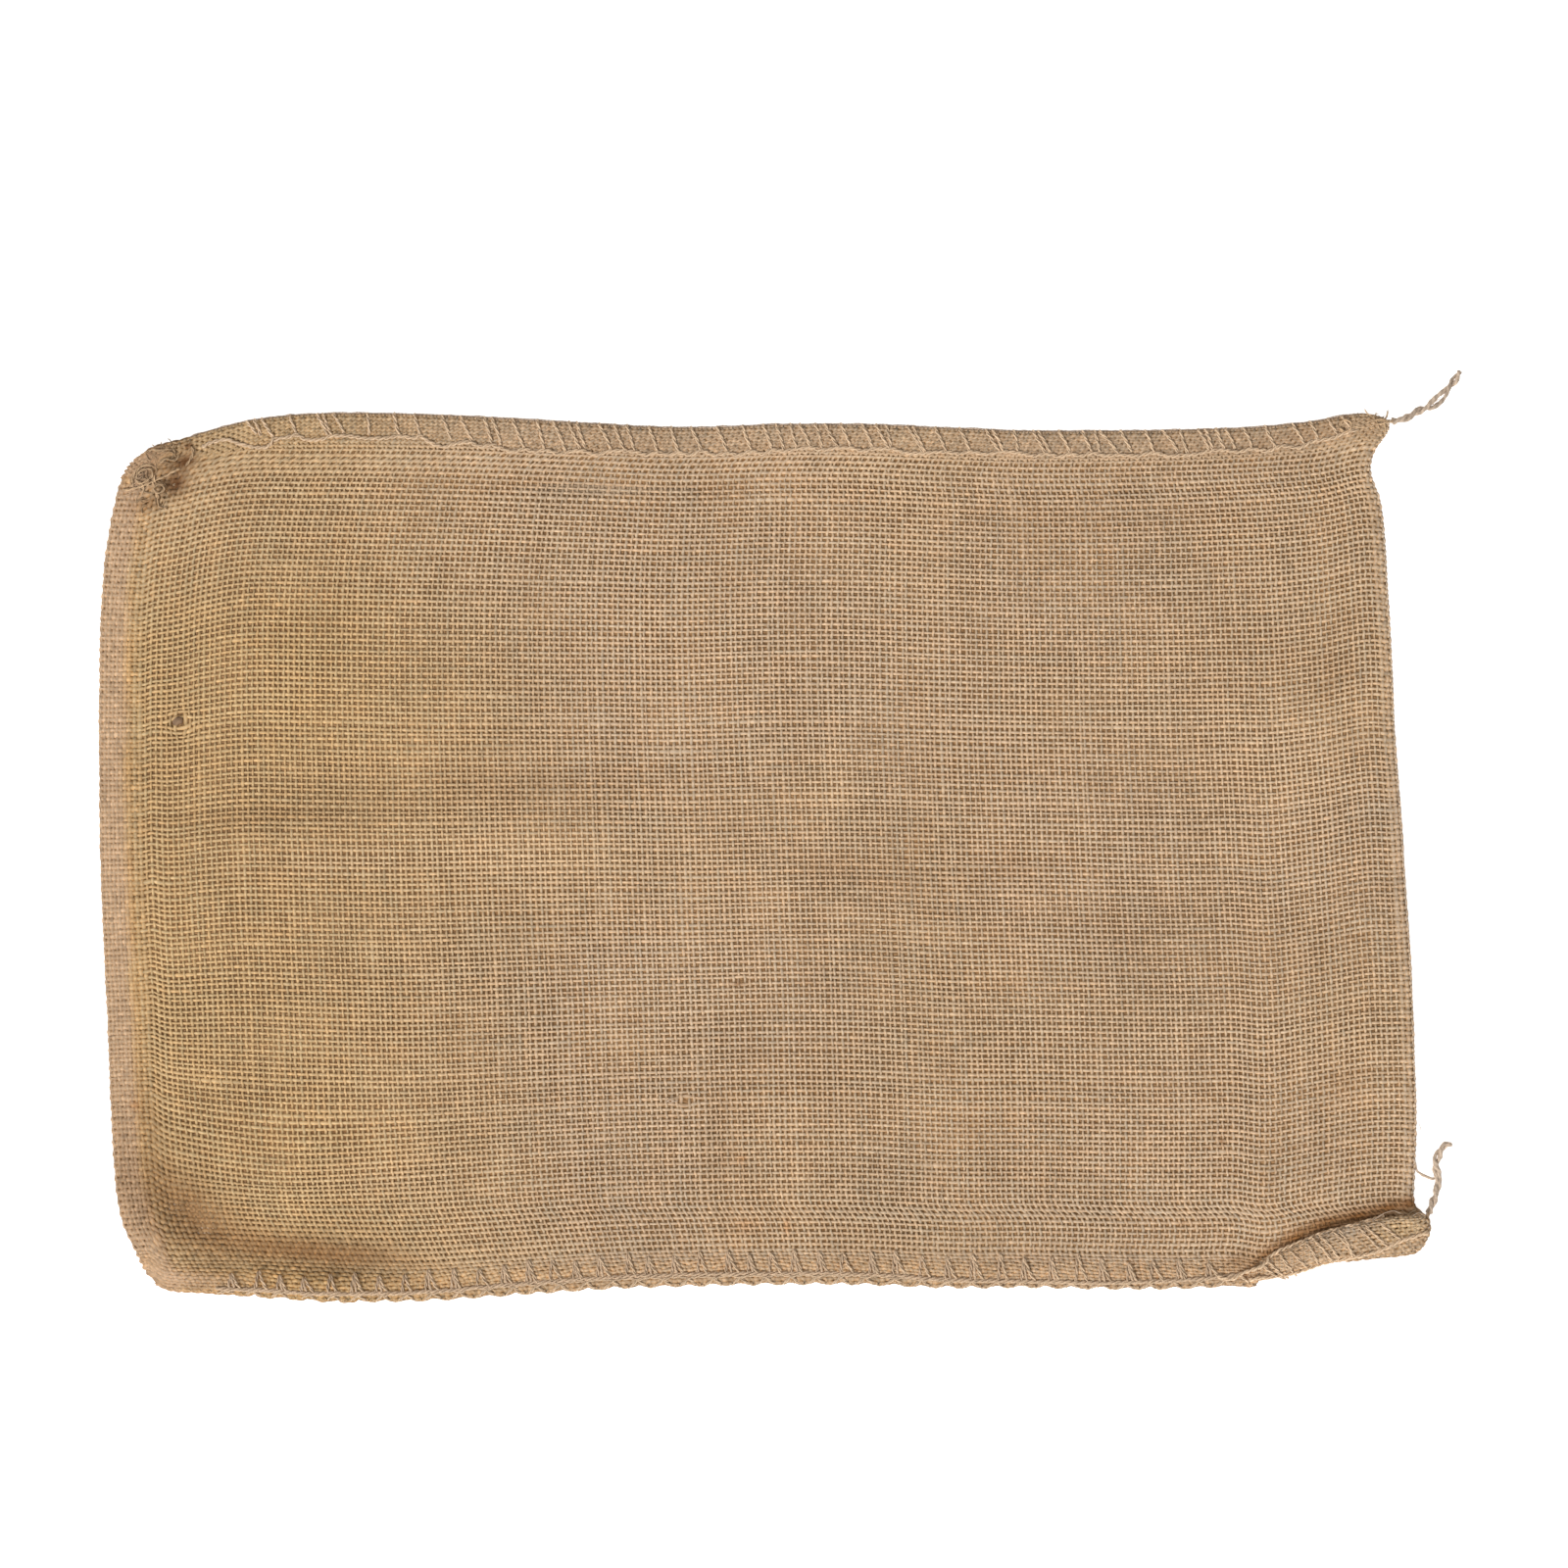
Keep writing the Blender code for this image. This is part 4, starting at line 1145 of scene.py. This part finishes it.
# Loose yarns and fibres: pixels, heights and radius
LOOSE_YARNS = (
    (((1441, 1180), (1443, 1187), (1446.7, 1195), (1453, 1200), (1459, 1202), (1464, 1202)),
     (3.6, 2.9, 1.3, 0.9, 0.9, 1.1), 0.72),
    (((1447, 1146), (1449, 1150), (1448, 1155)), (2.0, 1.2, 1.6), 0.16),
    (((680, 1124), (684, 1121), (689, 1123), (693, 1121)), (5.4, 5.9, 5.8, 5.4), 0.20),
    (((680, 1121), (685, 1124), (690, 1121)), (5.4, 5.9, 5.4), 0.16),
    (((1398, 1243), (1408, 1236), (1418, 1233), (1426, 1236)), (9.0, 9.8, 9.9, 9.4), 0.14),
    (((1436, 1240), (1444, 1235), (1450, 1238)), (9.0, 9.6, 8.6), 0.14),
    (((152, 455), (148, 457), (144, 462)), (7.0, 6.0, 4.5), 0.15),
    (((207, 1300), (214, 1306), (222, 1305), (230, 1309)), (6.5, 7.0, 7.0, 6.3), 0.15),
)
# Where short yarns lie across each other: pixel, radii in mm, turn, how many, seed
TANGLES = (
    ((150, 490), (6.5, 8.5), 0, 34, 9100), ((170, 465), (8.5, 3.2), 26, 20, 9200),
    ((160, 512), (5.5, 3.4), 0, 12, 9300), ((1371, 437), (2.6, 2.2), 0, 7, 9400),
    ((1404, 428), (4.5, 2.4), -10, 9, 9500), ((1438, 1247), (6, 3.4), 10, 14, 9600),
)


def over_cloth(relief, places, lift, step=THREAD_STEP):
    """A thread's path over the cloth through places given in mm."""
    flat = threaded([(x, y) for x, y in places], step)
    x, y = flat.T
    return np.column_stack([x, y, relief.cover(x, y) + lift])


def over_pixels(relief, pixels, lift, step=THREAD_STEP):
    return over_cloth(relief, [seen(px, py) for px, py in pixels], lift, step)


def round_edge(relief, x, edge_y):
    """Points that bring a thread up round the upper outer edge."""
    middle = relief.cover(x, edge_y)
    return [
        (x, edge_y - 2.2, 0.42), (x, edge_y - 0.5, 0.8), (x, edge_y + 0.25, middle),
        (x, edge_y - 0.15, middle + 1.1),
    ]


def sew_upper_hem(relief, threads):
    """The stitches, the line of twine at the hem's foot and the thread along the outer edge, painted dark as
    that edge's shade.
    """
    for k, (outer_px, *inner) in enumerate(STITCHES_ABOVE):
        x0, (x1, y1) = seen(outer_px, 0.0)[0], seen(*inner)
        edge = high(x0)
        middle = ((x0 + x1) / 2 + 0.35 * math.sin(2.1 * k), (edge + y1) / 2)
        over = over_cloth(relief, ((x0 + 0.2, edge - 1.2), middle, (x1, y1 - 0.3)), ON_CREST)
        path = threaded(round_edge(relief, x0, edge) + [tuple(p) for p in over[1:]], THREAD_STEP)
        threads.add_twine(path, STITCH_RADIUS, TWINE, seed=k)
    line = over_pixels(relief, FOOT_LINE, ON_CREST)
    threads.add_twine(line, LINE_RADIUS, TWINE * 0.97, seed=90)
    x = np.linspace(*EDGE_RANGE, 900)
    y = high(x) + 0.10 + 0.12 * line_cloud(x, 0.0, 9.0, 61)
    z = relief.cover(x, y) + 0.55 + 0.15 * line_cloud(x, 0.0, 13.0, 62)
    threads.add(np.column_stack([x, y, z]), EDGE_RADIUS, SHADED_RIM_TWINE, seed=91)


def cross_stitch(relief, threads, k, x):
    """One stitch over the lower hem: a leg, a longer one crossing it, and often a third."""
    top = low(x) + smooth_table(STITCH_TOPS, x) + 1.1 * math.sin(1.7 * k)
    foot = low(x) + smooth_table(STITCH_FEET, x)
    middle = 0.5 * (top + foot)
    wide = 4.3 + 0.9 * math.sin(2.6 * k)
    first = ((x - 0.9, foot), (x - 0.7, middle), (x, top))
    second = ((x + 0.15, top - 0.2), (x + 0.4 * wide, middle), (x + wide, foot - 0.2))
    third = ((x - 0.1, top - 0.5), (x + 0.5, middle), (x + 1.6, foot))
    threads.add_twine(over_cloth(relief, first, ON_CREST), STITCH_RADIUS, 0.92 * GREY_TWINE, seed=100 + k)
    threads.add_twine(over_cloth(relief, second, ON_CREST), STITCH_RADIUS, 0.94 * TWINE, seed=150 + k)
    if k % 3 != 1:
        threads.add(over_cloth(relief, third, ON_CREST - 0.15), STITCH_RADIUS, GREY_TWINE * 0.9, seed=200 + k)


def sew_lower_hem(relief, threads):
    """The stitches, the line of twine through their feet and the lens-shaped loops round the edge."""
    for k, px in enumerate(STITCHES_BELOW):
        cross_stitch(relief, threads, k, seen(px, 0.0)[0])
    x = np.linspace(LENS_RANGE[0] - 4.0, LENS_RANGE[1] + 4.0, 780)
    feet = smooth_table(STITCH_FEET, x)
    y = low(x) + feet + 0.25 * line_cloud(x, 0.0, 7.0, 63)
    z = relief.cover(x, y) + ON_CREST
    threads.add_twine(np.column_stack([x, y, z]), LINE_RADIUS, GREY_TWINE, seed=92)
    turn = math.pi * lens_turn(x)
    for way in (-1.0, 1.0):
        depth = 0.5 * np.minimum(feet, 4.6) * (1.0 + way * np.sin(turn)) + 0.15
        y = low(x) + depth - scallop(x)
        z = relief.cover(x, y) + ON_CREST * (0.4 + 0.6 * rounded(depth, 1.6)) + 0.12 * way * np.cos(turn)
        threads.add_twine(np.column_stack([x, y, z]), STITCH_RADIUS, 0.86 * TWINE, seed=94 + int(way))


def sew_roll(relief, threads):
    """The two lines of twine along the roll and the stitches between them."""
    for k, pixels in enumerate(ROLL_THREADS):
        radius = LINE_RADIUS if k < 2 else 0.85 * STITCH_RADIUS
        path = over_pixels(relief, pixels, ON_CREST + ROLL_RISE)
        threads.add_twine(path, radius, TWINE * 1.05, seed=300 + k)


def tangle(relief, threads, pixel, radii, turn, count, seed):
    """Short pieces of yarn that cross each other, where the cloth is crumpled or knotted."""
    own = np.random.default_rng(seed)
    cos, sin = math.cos(math.radians(turn)), math.sin(math.radians(turn))
    for k in range(count):
        way, reach = own.uniform(0.0, 2.0 * math.pi), math.sqrt(own.uniform())
        u, v = reach * radii[0] * math.cos(way), reach * radii[1] * math.sin(way)
        x, y = seen(*pixel)
        x, y = x + u * cos - v * sin, y + u * sin + v * cos
        heading, bend = own.uniform(0.0, 2.0 * math.pi), own.normal(0.0, 0.55)
        places = []
        for _ in range(own.integers(4, 7)):
            places.append((x, y))
            heading += bend + own.normal(0.0, 0.3)
            x, y = x + 1.3 * math.cos(heading), y + 1.3 * math.sin(heading)
        path = over_cloth(relief, places, own.uniform(0.2, 0.9), 0.6)
        middle = path[len(path) // 2][None, :]
        tint = stained_and_shaded(YARN * TANGLED, middle[:, 0], middle[:, 1], STAINS_SHADE_AND_LIGHT)[0] * own.uniform(0.58, 1.0)
        threads.add(path, own.uniform(0.26, 0.50), tint, sides=5, seed=seed + k, taper=2)


def tie_corner(relief, threads):
    """Twine and short yarns in the crumpled corners."""
    for k, (bright, pixels) in enumerate(KNOT_THREADS):
        path = over_pixels(relief, pixels, ON_CREST + 0.45)
        threads.add_twine(path, 0.62 * LINE_RADIUS, bright * TWINE * TANGLED, seed=330 + k)
    for pixel, radii, turn, count, seed in TANGLES:
        tangle(relief, threads, pixel, radii, turn, count, seed)


def add_husk(relief, threads):
    """A bit of bark that is caught between the yarns at the left."""
    x, y = seen(183, 736)
    share = np.linspace(-0.97, 0.97, 11)
    z = 0.0 * share + relief.cover(x, y) - 0.1
    size = 2.1 * np.sqrt(1.0 - share**2)[:, None]
    path = np.column_stack([x + 2.5 * share, y + 0.2 * share, z])
    threads.add(path, size, HUSK, lay=9.0, groove=0.08, sides=10, seed=480, ends=False)


def through_air(pixels, heights, step):
    """A thread's path through pixels at given heights."""
    return threaded([seen(px, py) + (z,) for (px, py), z in zip(pixels, heights)], step)


def draw_out(threads, roots, seed):
    """Twine that leads from the seam to a free end."""
    for k, (pixels, heights, radius) in enumerate(roots):
        threads.add_twine(through_air(pixels, heights, 0.6), radius, 0.86 * TWINE, seed=seed + k)


def loop_selvedge(weave, threads):
    """The wefts turn back in pairs at the mouth."""
    edge = weave.points[0]
    for row in range(3, weave.rows - 4, 2):
        (x0, y0, z0), (x1, y1, z1) = edge[row], edge[row + 1]
        out = 0.5 * (x0 + x1) - 0.30
        middle = 0.5 * (y0 + y1)
        points = (
            (x0 + 1.2, y0, z0), (x0 - 0.1, y0 + 0.15, z0), (out, middle, 0.5 * (z0 + z1)),
            (x1 - 0.1, y1 - 0.15, z1), (x1 + 1.2, y1, z1),
        )
        tint = YARN * BAND * (1.0 + 0.08 * math.sin(1.9 * row))
        threads.add(threaded(points, 0.55), 0.46, tint, lay=4.0, groove=0.15, seed=400 + row, ends=False)


def fray(threads):
    """Loose fibres and a yarn that has come out of the right edge."""
    for k, (pixels, heights, radius) in enumerate(LOOSE_YARNS):
        path = through_air(pixels, heights, 0.5)
        threads.add(path, radius, TAIL_TINT, lay=5.0, groove=0.12, sides=5, seed=500 + k)


def make_tail(name, route, loose, tint, finish):
    """A free end of the seam's twine: two strands that wind round each other.

    `loose` says how far along they part, and by how much.
    """
    path = threaded(route, 0.5)
    along = np.linspace(0.0, 1.0, len(path))
    place, parting = loose
    parted = np.exp(-((along - place) / 0.13) ** 2)
    turn = np.cumsum(1.0 - 0.95 * parted) * math.pi / TAIL_LAY
    turn -= turn[int(place * len(path))]
    threads = Threads()
    for strand, (share, bright) in enumerate(((1.25, 0.90), (0.55, 1.06))):
        winding = wound(path, (TAIL_OFFSET + share * parting * parted)[:, None], turn + math.pi * strand)
        winding[:, 2] = np.maximum(winding[:, 2], 0.8 * TAIL_STRAND)
        threads.add(winding, TAIL_STRAND, tint * bright, lay=7.0, groove=0.22, sides=8, seed=600 + strand)
    for wisp in range(7):
        own = np.random.default_rng(620 + wisp)
        start = int(own.uniform(0.15, 0.98) * (len(path) - 8))
        sway = np.cumsum(own.normal(0.0, 0.30, (8, 3)) * (1.0, 1.0, 0.2), axis=0)
        fibre = path[start : start + 8] + sway + (0.0, 0.0, 0.6)
        threads.add(threaded(fibre, 0.5), 0.13, TAIL_TINT, groove=0.0, sides=4, seed=640 + wisp)
    return threads.piece(name, finish)


# --- materials ---------------------------------------------------------------------------------------

# How fine the fibres are along x, y and z
WEFT_FIBRES = (260.0, 2600.0, 2600.0)
WARP_FIBRES = (2600.0, 260.0, 2600.0)
TWINE_FIBRES = (1500.0, 1500.0, 1500.0)
SHEET_FIBRES = (900.0, 900.0, 900.0)
# Linear colours of the sheet, in the hollows and on the crests of its weave: below, and between the yarns; the
# dark hollows below and the whole sheet between the yarns are painted shade
BELOW_COLOURS = ((0.19, 0.115, 0.062, 1.0), (0.50, 0.345, 0.215, 1.0))
SHADED_BETWEEN_COLOURS = ((0.325, 0.168, 0.066, 1.0), (0.445, 0.25, 0.113, 1.0))
COLOUR_HEIGHTS = (0.12, 0.5)  # heights in the weave at which the two colours are reached
YARN_EMBOSS = (0.5, 0.25)  # strength, and depth in mm
SHEET_EMBOSS = (0.8, 0.8)


def new_material(name):
    made = bpy.data.materials.new(name)
    made.use_nodes = True
    shader = made.node_tree.nodes["Principled BSDF"]
    shader.inputs["Roughness"].default_value = 0.88
    shader.inputs["Specular IOR Level"].default_value = 0.25
    return made, made.node_tree, shader


def node(tree, kind, inputs=None, **values):
    made = tree.nodes.new(kind)
    for key, value in values.items():
        setattr(made, key, value)
    for key, value in (inputs or {}).items():
        made.inputs[key].default_value = value
    return made


def math_node(tree, operation, *values):
    """The result of a calculation with numbers and other nodes' results."""
    made = node(tree, "ShaderNodeMath", operation=operation)
    for socket, value in zip(made.inputs, values):
        if isinstance(value, float):
            socket.default_value = value
        else:
            tree.links.new(value, socket)
    return made.outputs[0]


def fibre_noise(tree, scale):
    """Fibres: noise that is finer or longer along each axis of the object."""
    place = node(tree, "ShaderNodeTexCoord")
    stretch = node(tree, "ShaderNodeMapping", {"Scale": scale})
    noise = node(tree, "ShaderNodeTexNoise", {"Scale": 1.0, "Detail": 3.0, "Roughness": 0.65})
    tree.links.new(place.outputs["Object"], stretch.inputs["Vector"])
    tree.links.new(stretch.outputs["Vector"], noise.inputs["Vector"])
    return noise.outputs["Fac"]


def emboss(tree, shader, height, strength, depth):
    relief = node(tree, "ShaderNodeBump", {"Strength": strength, "Distance": depth * MM})
    tree.links.new(height, relief.inputs["Height"])
    tree.links.new(relief.outputs["Normal"], shader.inputs["Normal"])


def yarn_material(name, scale):
    """Jute yarn: its own tint, broken by fine fibres."""
    made, tree, shader = new_material(name)
    tint = node(tree, "ShaderNodeAttribute", attribute_name="tint")
    fibres = fibre_noise(tree, scale)
    limits = {"From Min": 0.3, "From Max": 0.7, "To Min": 0.80, "To Max": 1.17}
    spread = node(tree, "ShaderNodeMapRange", limits)
    tree.links.new(fibres, spread.inputs["Value"])
    scaled = node(tree, "ShaderNodeVectorMath", operation="SCALE")
    tree.links.new(tint.outputs["Color"], scaled.inputs[0])
    tree.links.new(spread.outputs["Result"], scaled.inputs["Scale"])
    tree.links.new(scaled.outputs["Vector"], shader.inputs["Base Color"])
    emboss(tree, shader, fibres, *YARN_EMBOSS)
    return made


def woven_pattern(tree):
    """Height of a plain weave over the object's x and y, from 0 in a hole to 1 on a crest."""
    place = node(tree, "ShaderNodeTexCoord")
    split = node(tree, "ShaderNodeSeparateXYZ")
    tree.links.new(place.outputs["Object"], split.inputs["Vector"])
    across = math_node(tree, "DIVIDE", split.outputs["X"], PITCH_X * MM)
    along = math_node(tree, "DIVIDE", split.outputs["Y"], PITCH_Y * MM)
    turn_x = math_node(tree, "MULTIPLY", across, math.pi)
    turn_y = math_node(tree, "MULTIPLY", along, math.pi)
    rise_x = math_node(tree, "COSINE", turn_x)
    rise_y = math_node(tree, "COSINE", turn_y)
    both = math_node(tree, "MULTIPLY", rise_x, rise_y)
    warp_body = math_node(tree, "MULTIPLY", rise_x, rise_x)
    weft_body = math_node(tree, "MULTIPLY", rise_y, rise_y)
    warp = math_node(tree, "MULTIPLY", warp_body, math_node(tree, "MULTIPLY_ADD", both, 0.35, 0.62))
    weft = math_node(tree, "MULTIPLY", weft_body, math_node(tree, "MULTIPLY_ADD", both, -0.35, 0.62))
    return math_node(tree, "MAXIMUM", warp, weft)


def sheet_material(name, colours):
    """A sheet's plain weave in relief, with painted shade in its hollows."""
    made, tree, shader = new_material(name)
    weave = woven_pattern(tree)
    fibres = fibre_noise(tree, SHEET_FIBRES)
    ramp = node(tree, "ShaderNodeValToRGB")
    for element, position, colour in zip(ramp.color_ramp.elements, COLOUR_HEIGHTS, colours):
        element.position = position
        element.color = colour
    tree.links.new(weave, ramp.inputs["Fac"])
    dusted = node(tree, "ShaderNodeMix", data_type="RGBA", blend_type="MULTIPLY")
    dusted.inputs["Factor"].default_value = 0.4
    tree.links.new(ramp.outputs["Color"], dusted.inputs["A"])
    tree.links.new(fibres, dusted.inputs["B"])
    tree.links.new(dusted.outputs["Result"], shader.inputs["Base Color"])
    emboss(tree, shader, weave, *SHEET_EMBOSS)
    return made


# --- the sheet under the yarns -----------------------------------------------------------------------

SHEET_UNDER = 1.3  # how far the sheet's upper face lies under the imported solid's
SHEET_LINING = 0.35  # how far its inner face is lowered
SHEET_INSET = 0.8  # how far its outer edge is drawn in
SHEET_RIM = 0.8  # how far inside the outermost yarns' middles that edge reaches
SHEET_WALL = 0.45  # its thickness at the least
SHEET_LOWEST = 1.55  # height of its inner face at the least
SHEET_CUTS = 2  # that each edge of its upper face gets
WELD = 0.002
UPRIGHT = 0.3  # how far a face's normal points up or down when it isn't a side wall
UPPER_FACE = 2.6  # height over which a face that points up is the upper one's


def refined(body):
    """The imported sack's mesh with a finer upper face."""
    mesh = bpy.data.meshes.new("sack_cloth")
    welded = bmesh.new()
    welded.from_mesh(body.data)
    bmesh.ops.remove_doubles(welded, verts=welded.verts, dist=WELD * MM)
    welded.normal_update()
    upper = [f for f in welded.faces if f.normal.z > UPRIGHT and f.calc_center_median().z > UPPER_FACE * MM]
    edges = list({e for f in upper for e in f.edges})
    bmesh.ops.subdivide_edges(welded, edges=edges, cuts=SHEET_CUTS, use_grid_fill=True)
    bmesh.ops.triangulate(welded, faces=[f for f in welded.faces if len(f.verts) > 4])
    welded.normal_update()
    welded.to_mesh(mesh)
    welded.free()
    return mesh


def drawn_in(places, normals, top, relief):
    """The places of the sheet's vertices: lowered under the yarns and drawn in at the outline."""
    places = places.copy()
    x, y, z = places.T.copy()
    edge = np.minimum.reduce([x - left(y), right(y) - x, y - low(x), high(x) - y])
    ceiling = (normals[:, 2] < -UPRIGHT) & (z > 1.6)
    rim = (edge < SHEET_RIM) & (np.abs(normals[:, 2]) < 0.9) & (z > 0.05)
    inner = top & (edge > HEM_RADIUS)
    height = relief.at(x, y)
    beside = relief.beside_roll(x, y, height)
    outside_roll = y > low(x) + lower_hem(x) - 0.6
    places[inner, 2] = np.where(outside_roll, beside, height)[inner]
    places[top, 2] = np.maximum(places[top, 2] - SHEET_UNDER, SHEET_LOWEST + SHEET_WALL)
    lining = np.maximum(np.minimum(z - SHEET_LINING, beside - SHEET_UNDER - SHEET_WALL), SHEET_LOWEST)
    places[ceiling, 2] = np.minimum(z, lining)[ceiling]
    inward = (SHEET_INSET + np.clip(-edge, 0.0, 2.5))[:, None] * normals * (1.0, 1.0, 0.0)
    places[rim] -= inward[rim]
    return places


def sheet_from(body, relief, below, shaded_between_yarns):
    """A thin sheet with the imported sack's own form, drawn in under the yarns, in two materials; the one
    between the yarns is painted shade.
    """
    mesh = refined(body)
    piece = placed("sack_cloth", mesh)
    places = np.array([tuple(v.co) for v in mesh.vertices]) / MM
    normals = np.array([tuple(v.normal) for v in mesh.vertices])
    top = (normals[:, 2] > UPRIGHT) & (places[:, 2] > UPPER_FACE)
    places = drawn_in(places, normals, top, relief)
    mesh.vertices.foreach_set("co", (places * MM).astype(np.float32).ravel())
    mesh.update()
    mesh.materials.clear()
    mesh.materials.append(below)
    mesh.materials.append(shaded_between_yarns)
    for face in mesh.polygons:
        if all(top[k] for k in face.vertices):
            face.material_index = 1
    mesh.shade_smooth()
    return piece


# --- stage, camera, lights ---------------------------------------------------------------------------

FLOOR_SIZE = 12.0
FLOOR_DROP = 0.0004  # how far the floor lies under the sack, in metres
FLOOR_WHITE = (0.93, 0.93, 0.93, 1.0)
FLOOR_GLOW = 0.70
WHITE = (1.0, 1.0, 1.0, 1.0)
SKY_STRENGTH = 0.55
SUN_STRENGTH = 2.7
SUN_SPREAD = 22.0  # degrees
SUN_WAY = (0.66, 0.86, -1.0)  # the way its light goes


def make_camera():
    data = bpy.data.cameras.new("camera")
    data.lens = FOCAL_LENGTH
    data.sensor_width = SENSOR
    camera = placed("camera", data)
    camera.location = (LOOK_AT[0], LOOK_AT[1], VIEW_WIDTH * FOCAL_LENGTH / SENSOR)
    bpy.context.scene.camera = camera


def make_stage():
    bpy.ops.mesh.primitive_plane_add(size=FLOOR_SIZE, location=(0.0, 0.0, -FLOOR_DROP))
    floor = bpy.context.object
    floor.name = "floor"
    made, _, shader = new_material("floor_white")
    shader.inputs["Base Color"].default_value = FLOOR_WHITE
    shader.inputs["Emission Color"].default_value = WHITE
    shader.inputs["Emission Strength"].default_value = FLOOR_GLOW
    floor.data.materials.append(made)


def make_lights():
    world = bpy.data.worlds.new("studio")
    bpy.context.scene.world = world
    world.use_nodes = True
    background = world.node_tree.nodes["Background"]
    background.inputs["Color"].default_value = WHITE
    background.inputs["Strength"].default_value = SKY_STRENGTH
    lamp = bpy.data.lights.new("key", "SUN")
    lamp.energy = SUN_STRENGTH
    lamp.angle = math.radians(SUN_SPREAD)
    key = placed("key", lamp)
    key.rotation_euler = Vector(SUN_WAY).to_track_quat("-Z", "Y").to_euler()
    bpy.context.scene.view_settings.view_transform = "Standard"


def place_tails(finish):
    """The two free ends of the seam's twine, in place of the imported model's cords."""
    for name, route, loose, tint, node_name in (
        ("tail_upper", TAIL_TOP, (0.60, 1.10), 0.76 * TAIL_TINT, "thread_tail_top"),
        ("tail_lower", TAIL_BOTTOM, (0.45, 0.0), TAIL_TINT, "thread_tail_bottom"),
    ):
        tail = make_tail(name, route, loose, tint, finish)
        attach(tail, "root")
        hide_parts(node_name)
        path = threaded(route, 0.5) * MM


def cloth_pieces(relief, weft_finish, warp_finish):
    """The yarns of the cloth and of its rolled-up end, the loops of the mouth and what is loose."""
    weave = Weave(relief)
    roll = Roll(relief)
    half_rows, half_columns = weave.rows // 2, weave.columns // 2
    pieces = [
        lay_yarns(weave, 0, range(0, half_rows), "wefts_lower", weft_finish),
        lay_yarns(weave, 0, range(half_rows, weave.rows), "wefts_upper", weft_finish),
        lay_yarns(weave, 1, range(0, half_columns), "warps_mouth_half", warp_finish),
        lay_yarns(weave, 1, range(half_columns, weave.columns), "warps_fold_half", warp_finish),
        lay_yarns(roll, 0, range(roll.rows), "roll_wefts", weft_finish),
        lay_yarns(roll, 1, range(roll.columns), "roll_warps", warp_finish),
    ]
    edging = Threads()
    loop_selvedge(weave, edging)
    fray(edging)
    add_husk(relief, edging)
    pieces.append(edging.piece("selvedge_loops", weft_finish))
    for piece in pieces:
        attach(piece, "root")
    return pieces


def seam_pieces(relief, twine_finish):
    """The twine of the two seams, up to the roots of its free ends."""
    upper, lower = Threads(), Threads()
    sew_upper_hem(relief, upper)
    tie_corner(relief, upper)
    draw_out(upper, UPPER_ROOT, 360)
    sew_lower_hem(relief, lower)
    sew_roll(relief, lower)
    draw_out(lower, LOWER_ROOT, 370)
    pieces = []
    for threads, name in ((upper, "twine_upper_seam"), (lower, "twine_lower_seam")):
        piece = threads.piece(name, twine_finish)
        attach(piece, "root")
        pieces.append(piece)
    return pieces


def main():
    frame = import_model()
    make_camera()
    twine_finish = yarn_material("seam_twine", TWINE_FIBRES)
    place_tails(twine_finish)
    make_stage()
    make_lights()
    body = frame["nodes"]["sack_body"]
    relief = Relief(body)
    below = sheet_material("jute_under", BELOW_COLOURS)
    # The sheet between the yarns is painted dark as the shade under them
    shaded_between_yarns = sheet_material("jute_between_shaded", SHADED_BETWEEN_COLOURS)
    weft_finish = yarn_material("jute_weft", WEFT_FIBRES)
    warp_finish = yarn_material("jute_warp", WARP_FIBRES)
    sheet = sheet_from(body, relief, below, shaded_between_yarns)
    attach(sheet, "root")
    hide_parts("sack_body")
    pieces = cloth_pieces(relief, weft_finish, warp_finish) + seam_pieces(relief, twine_finish)


main()
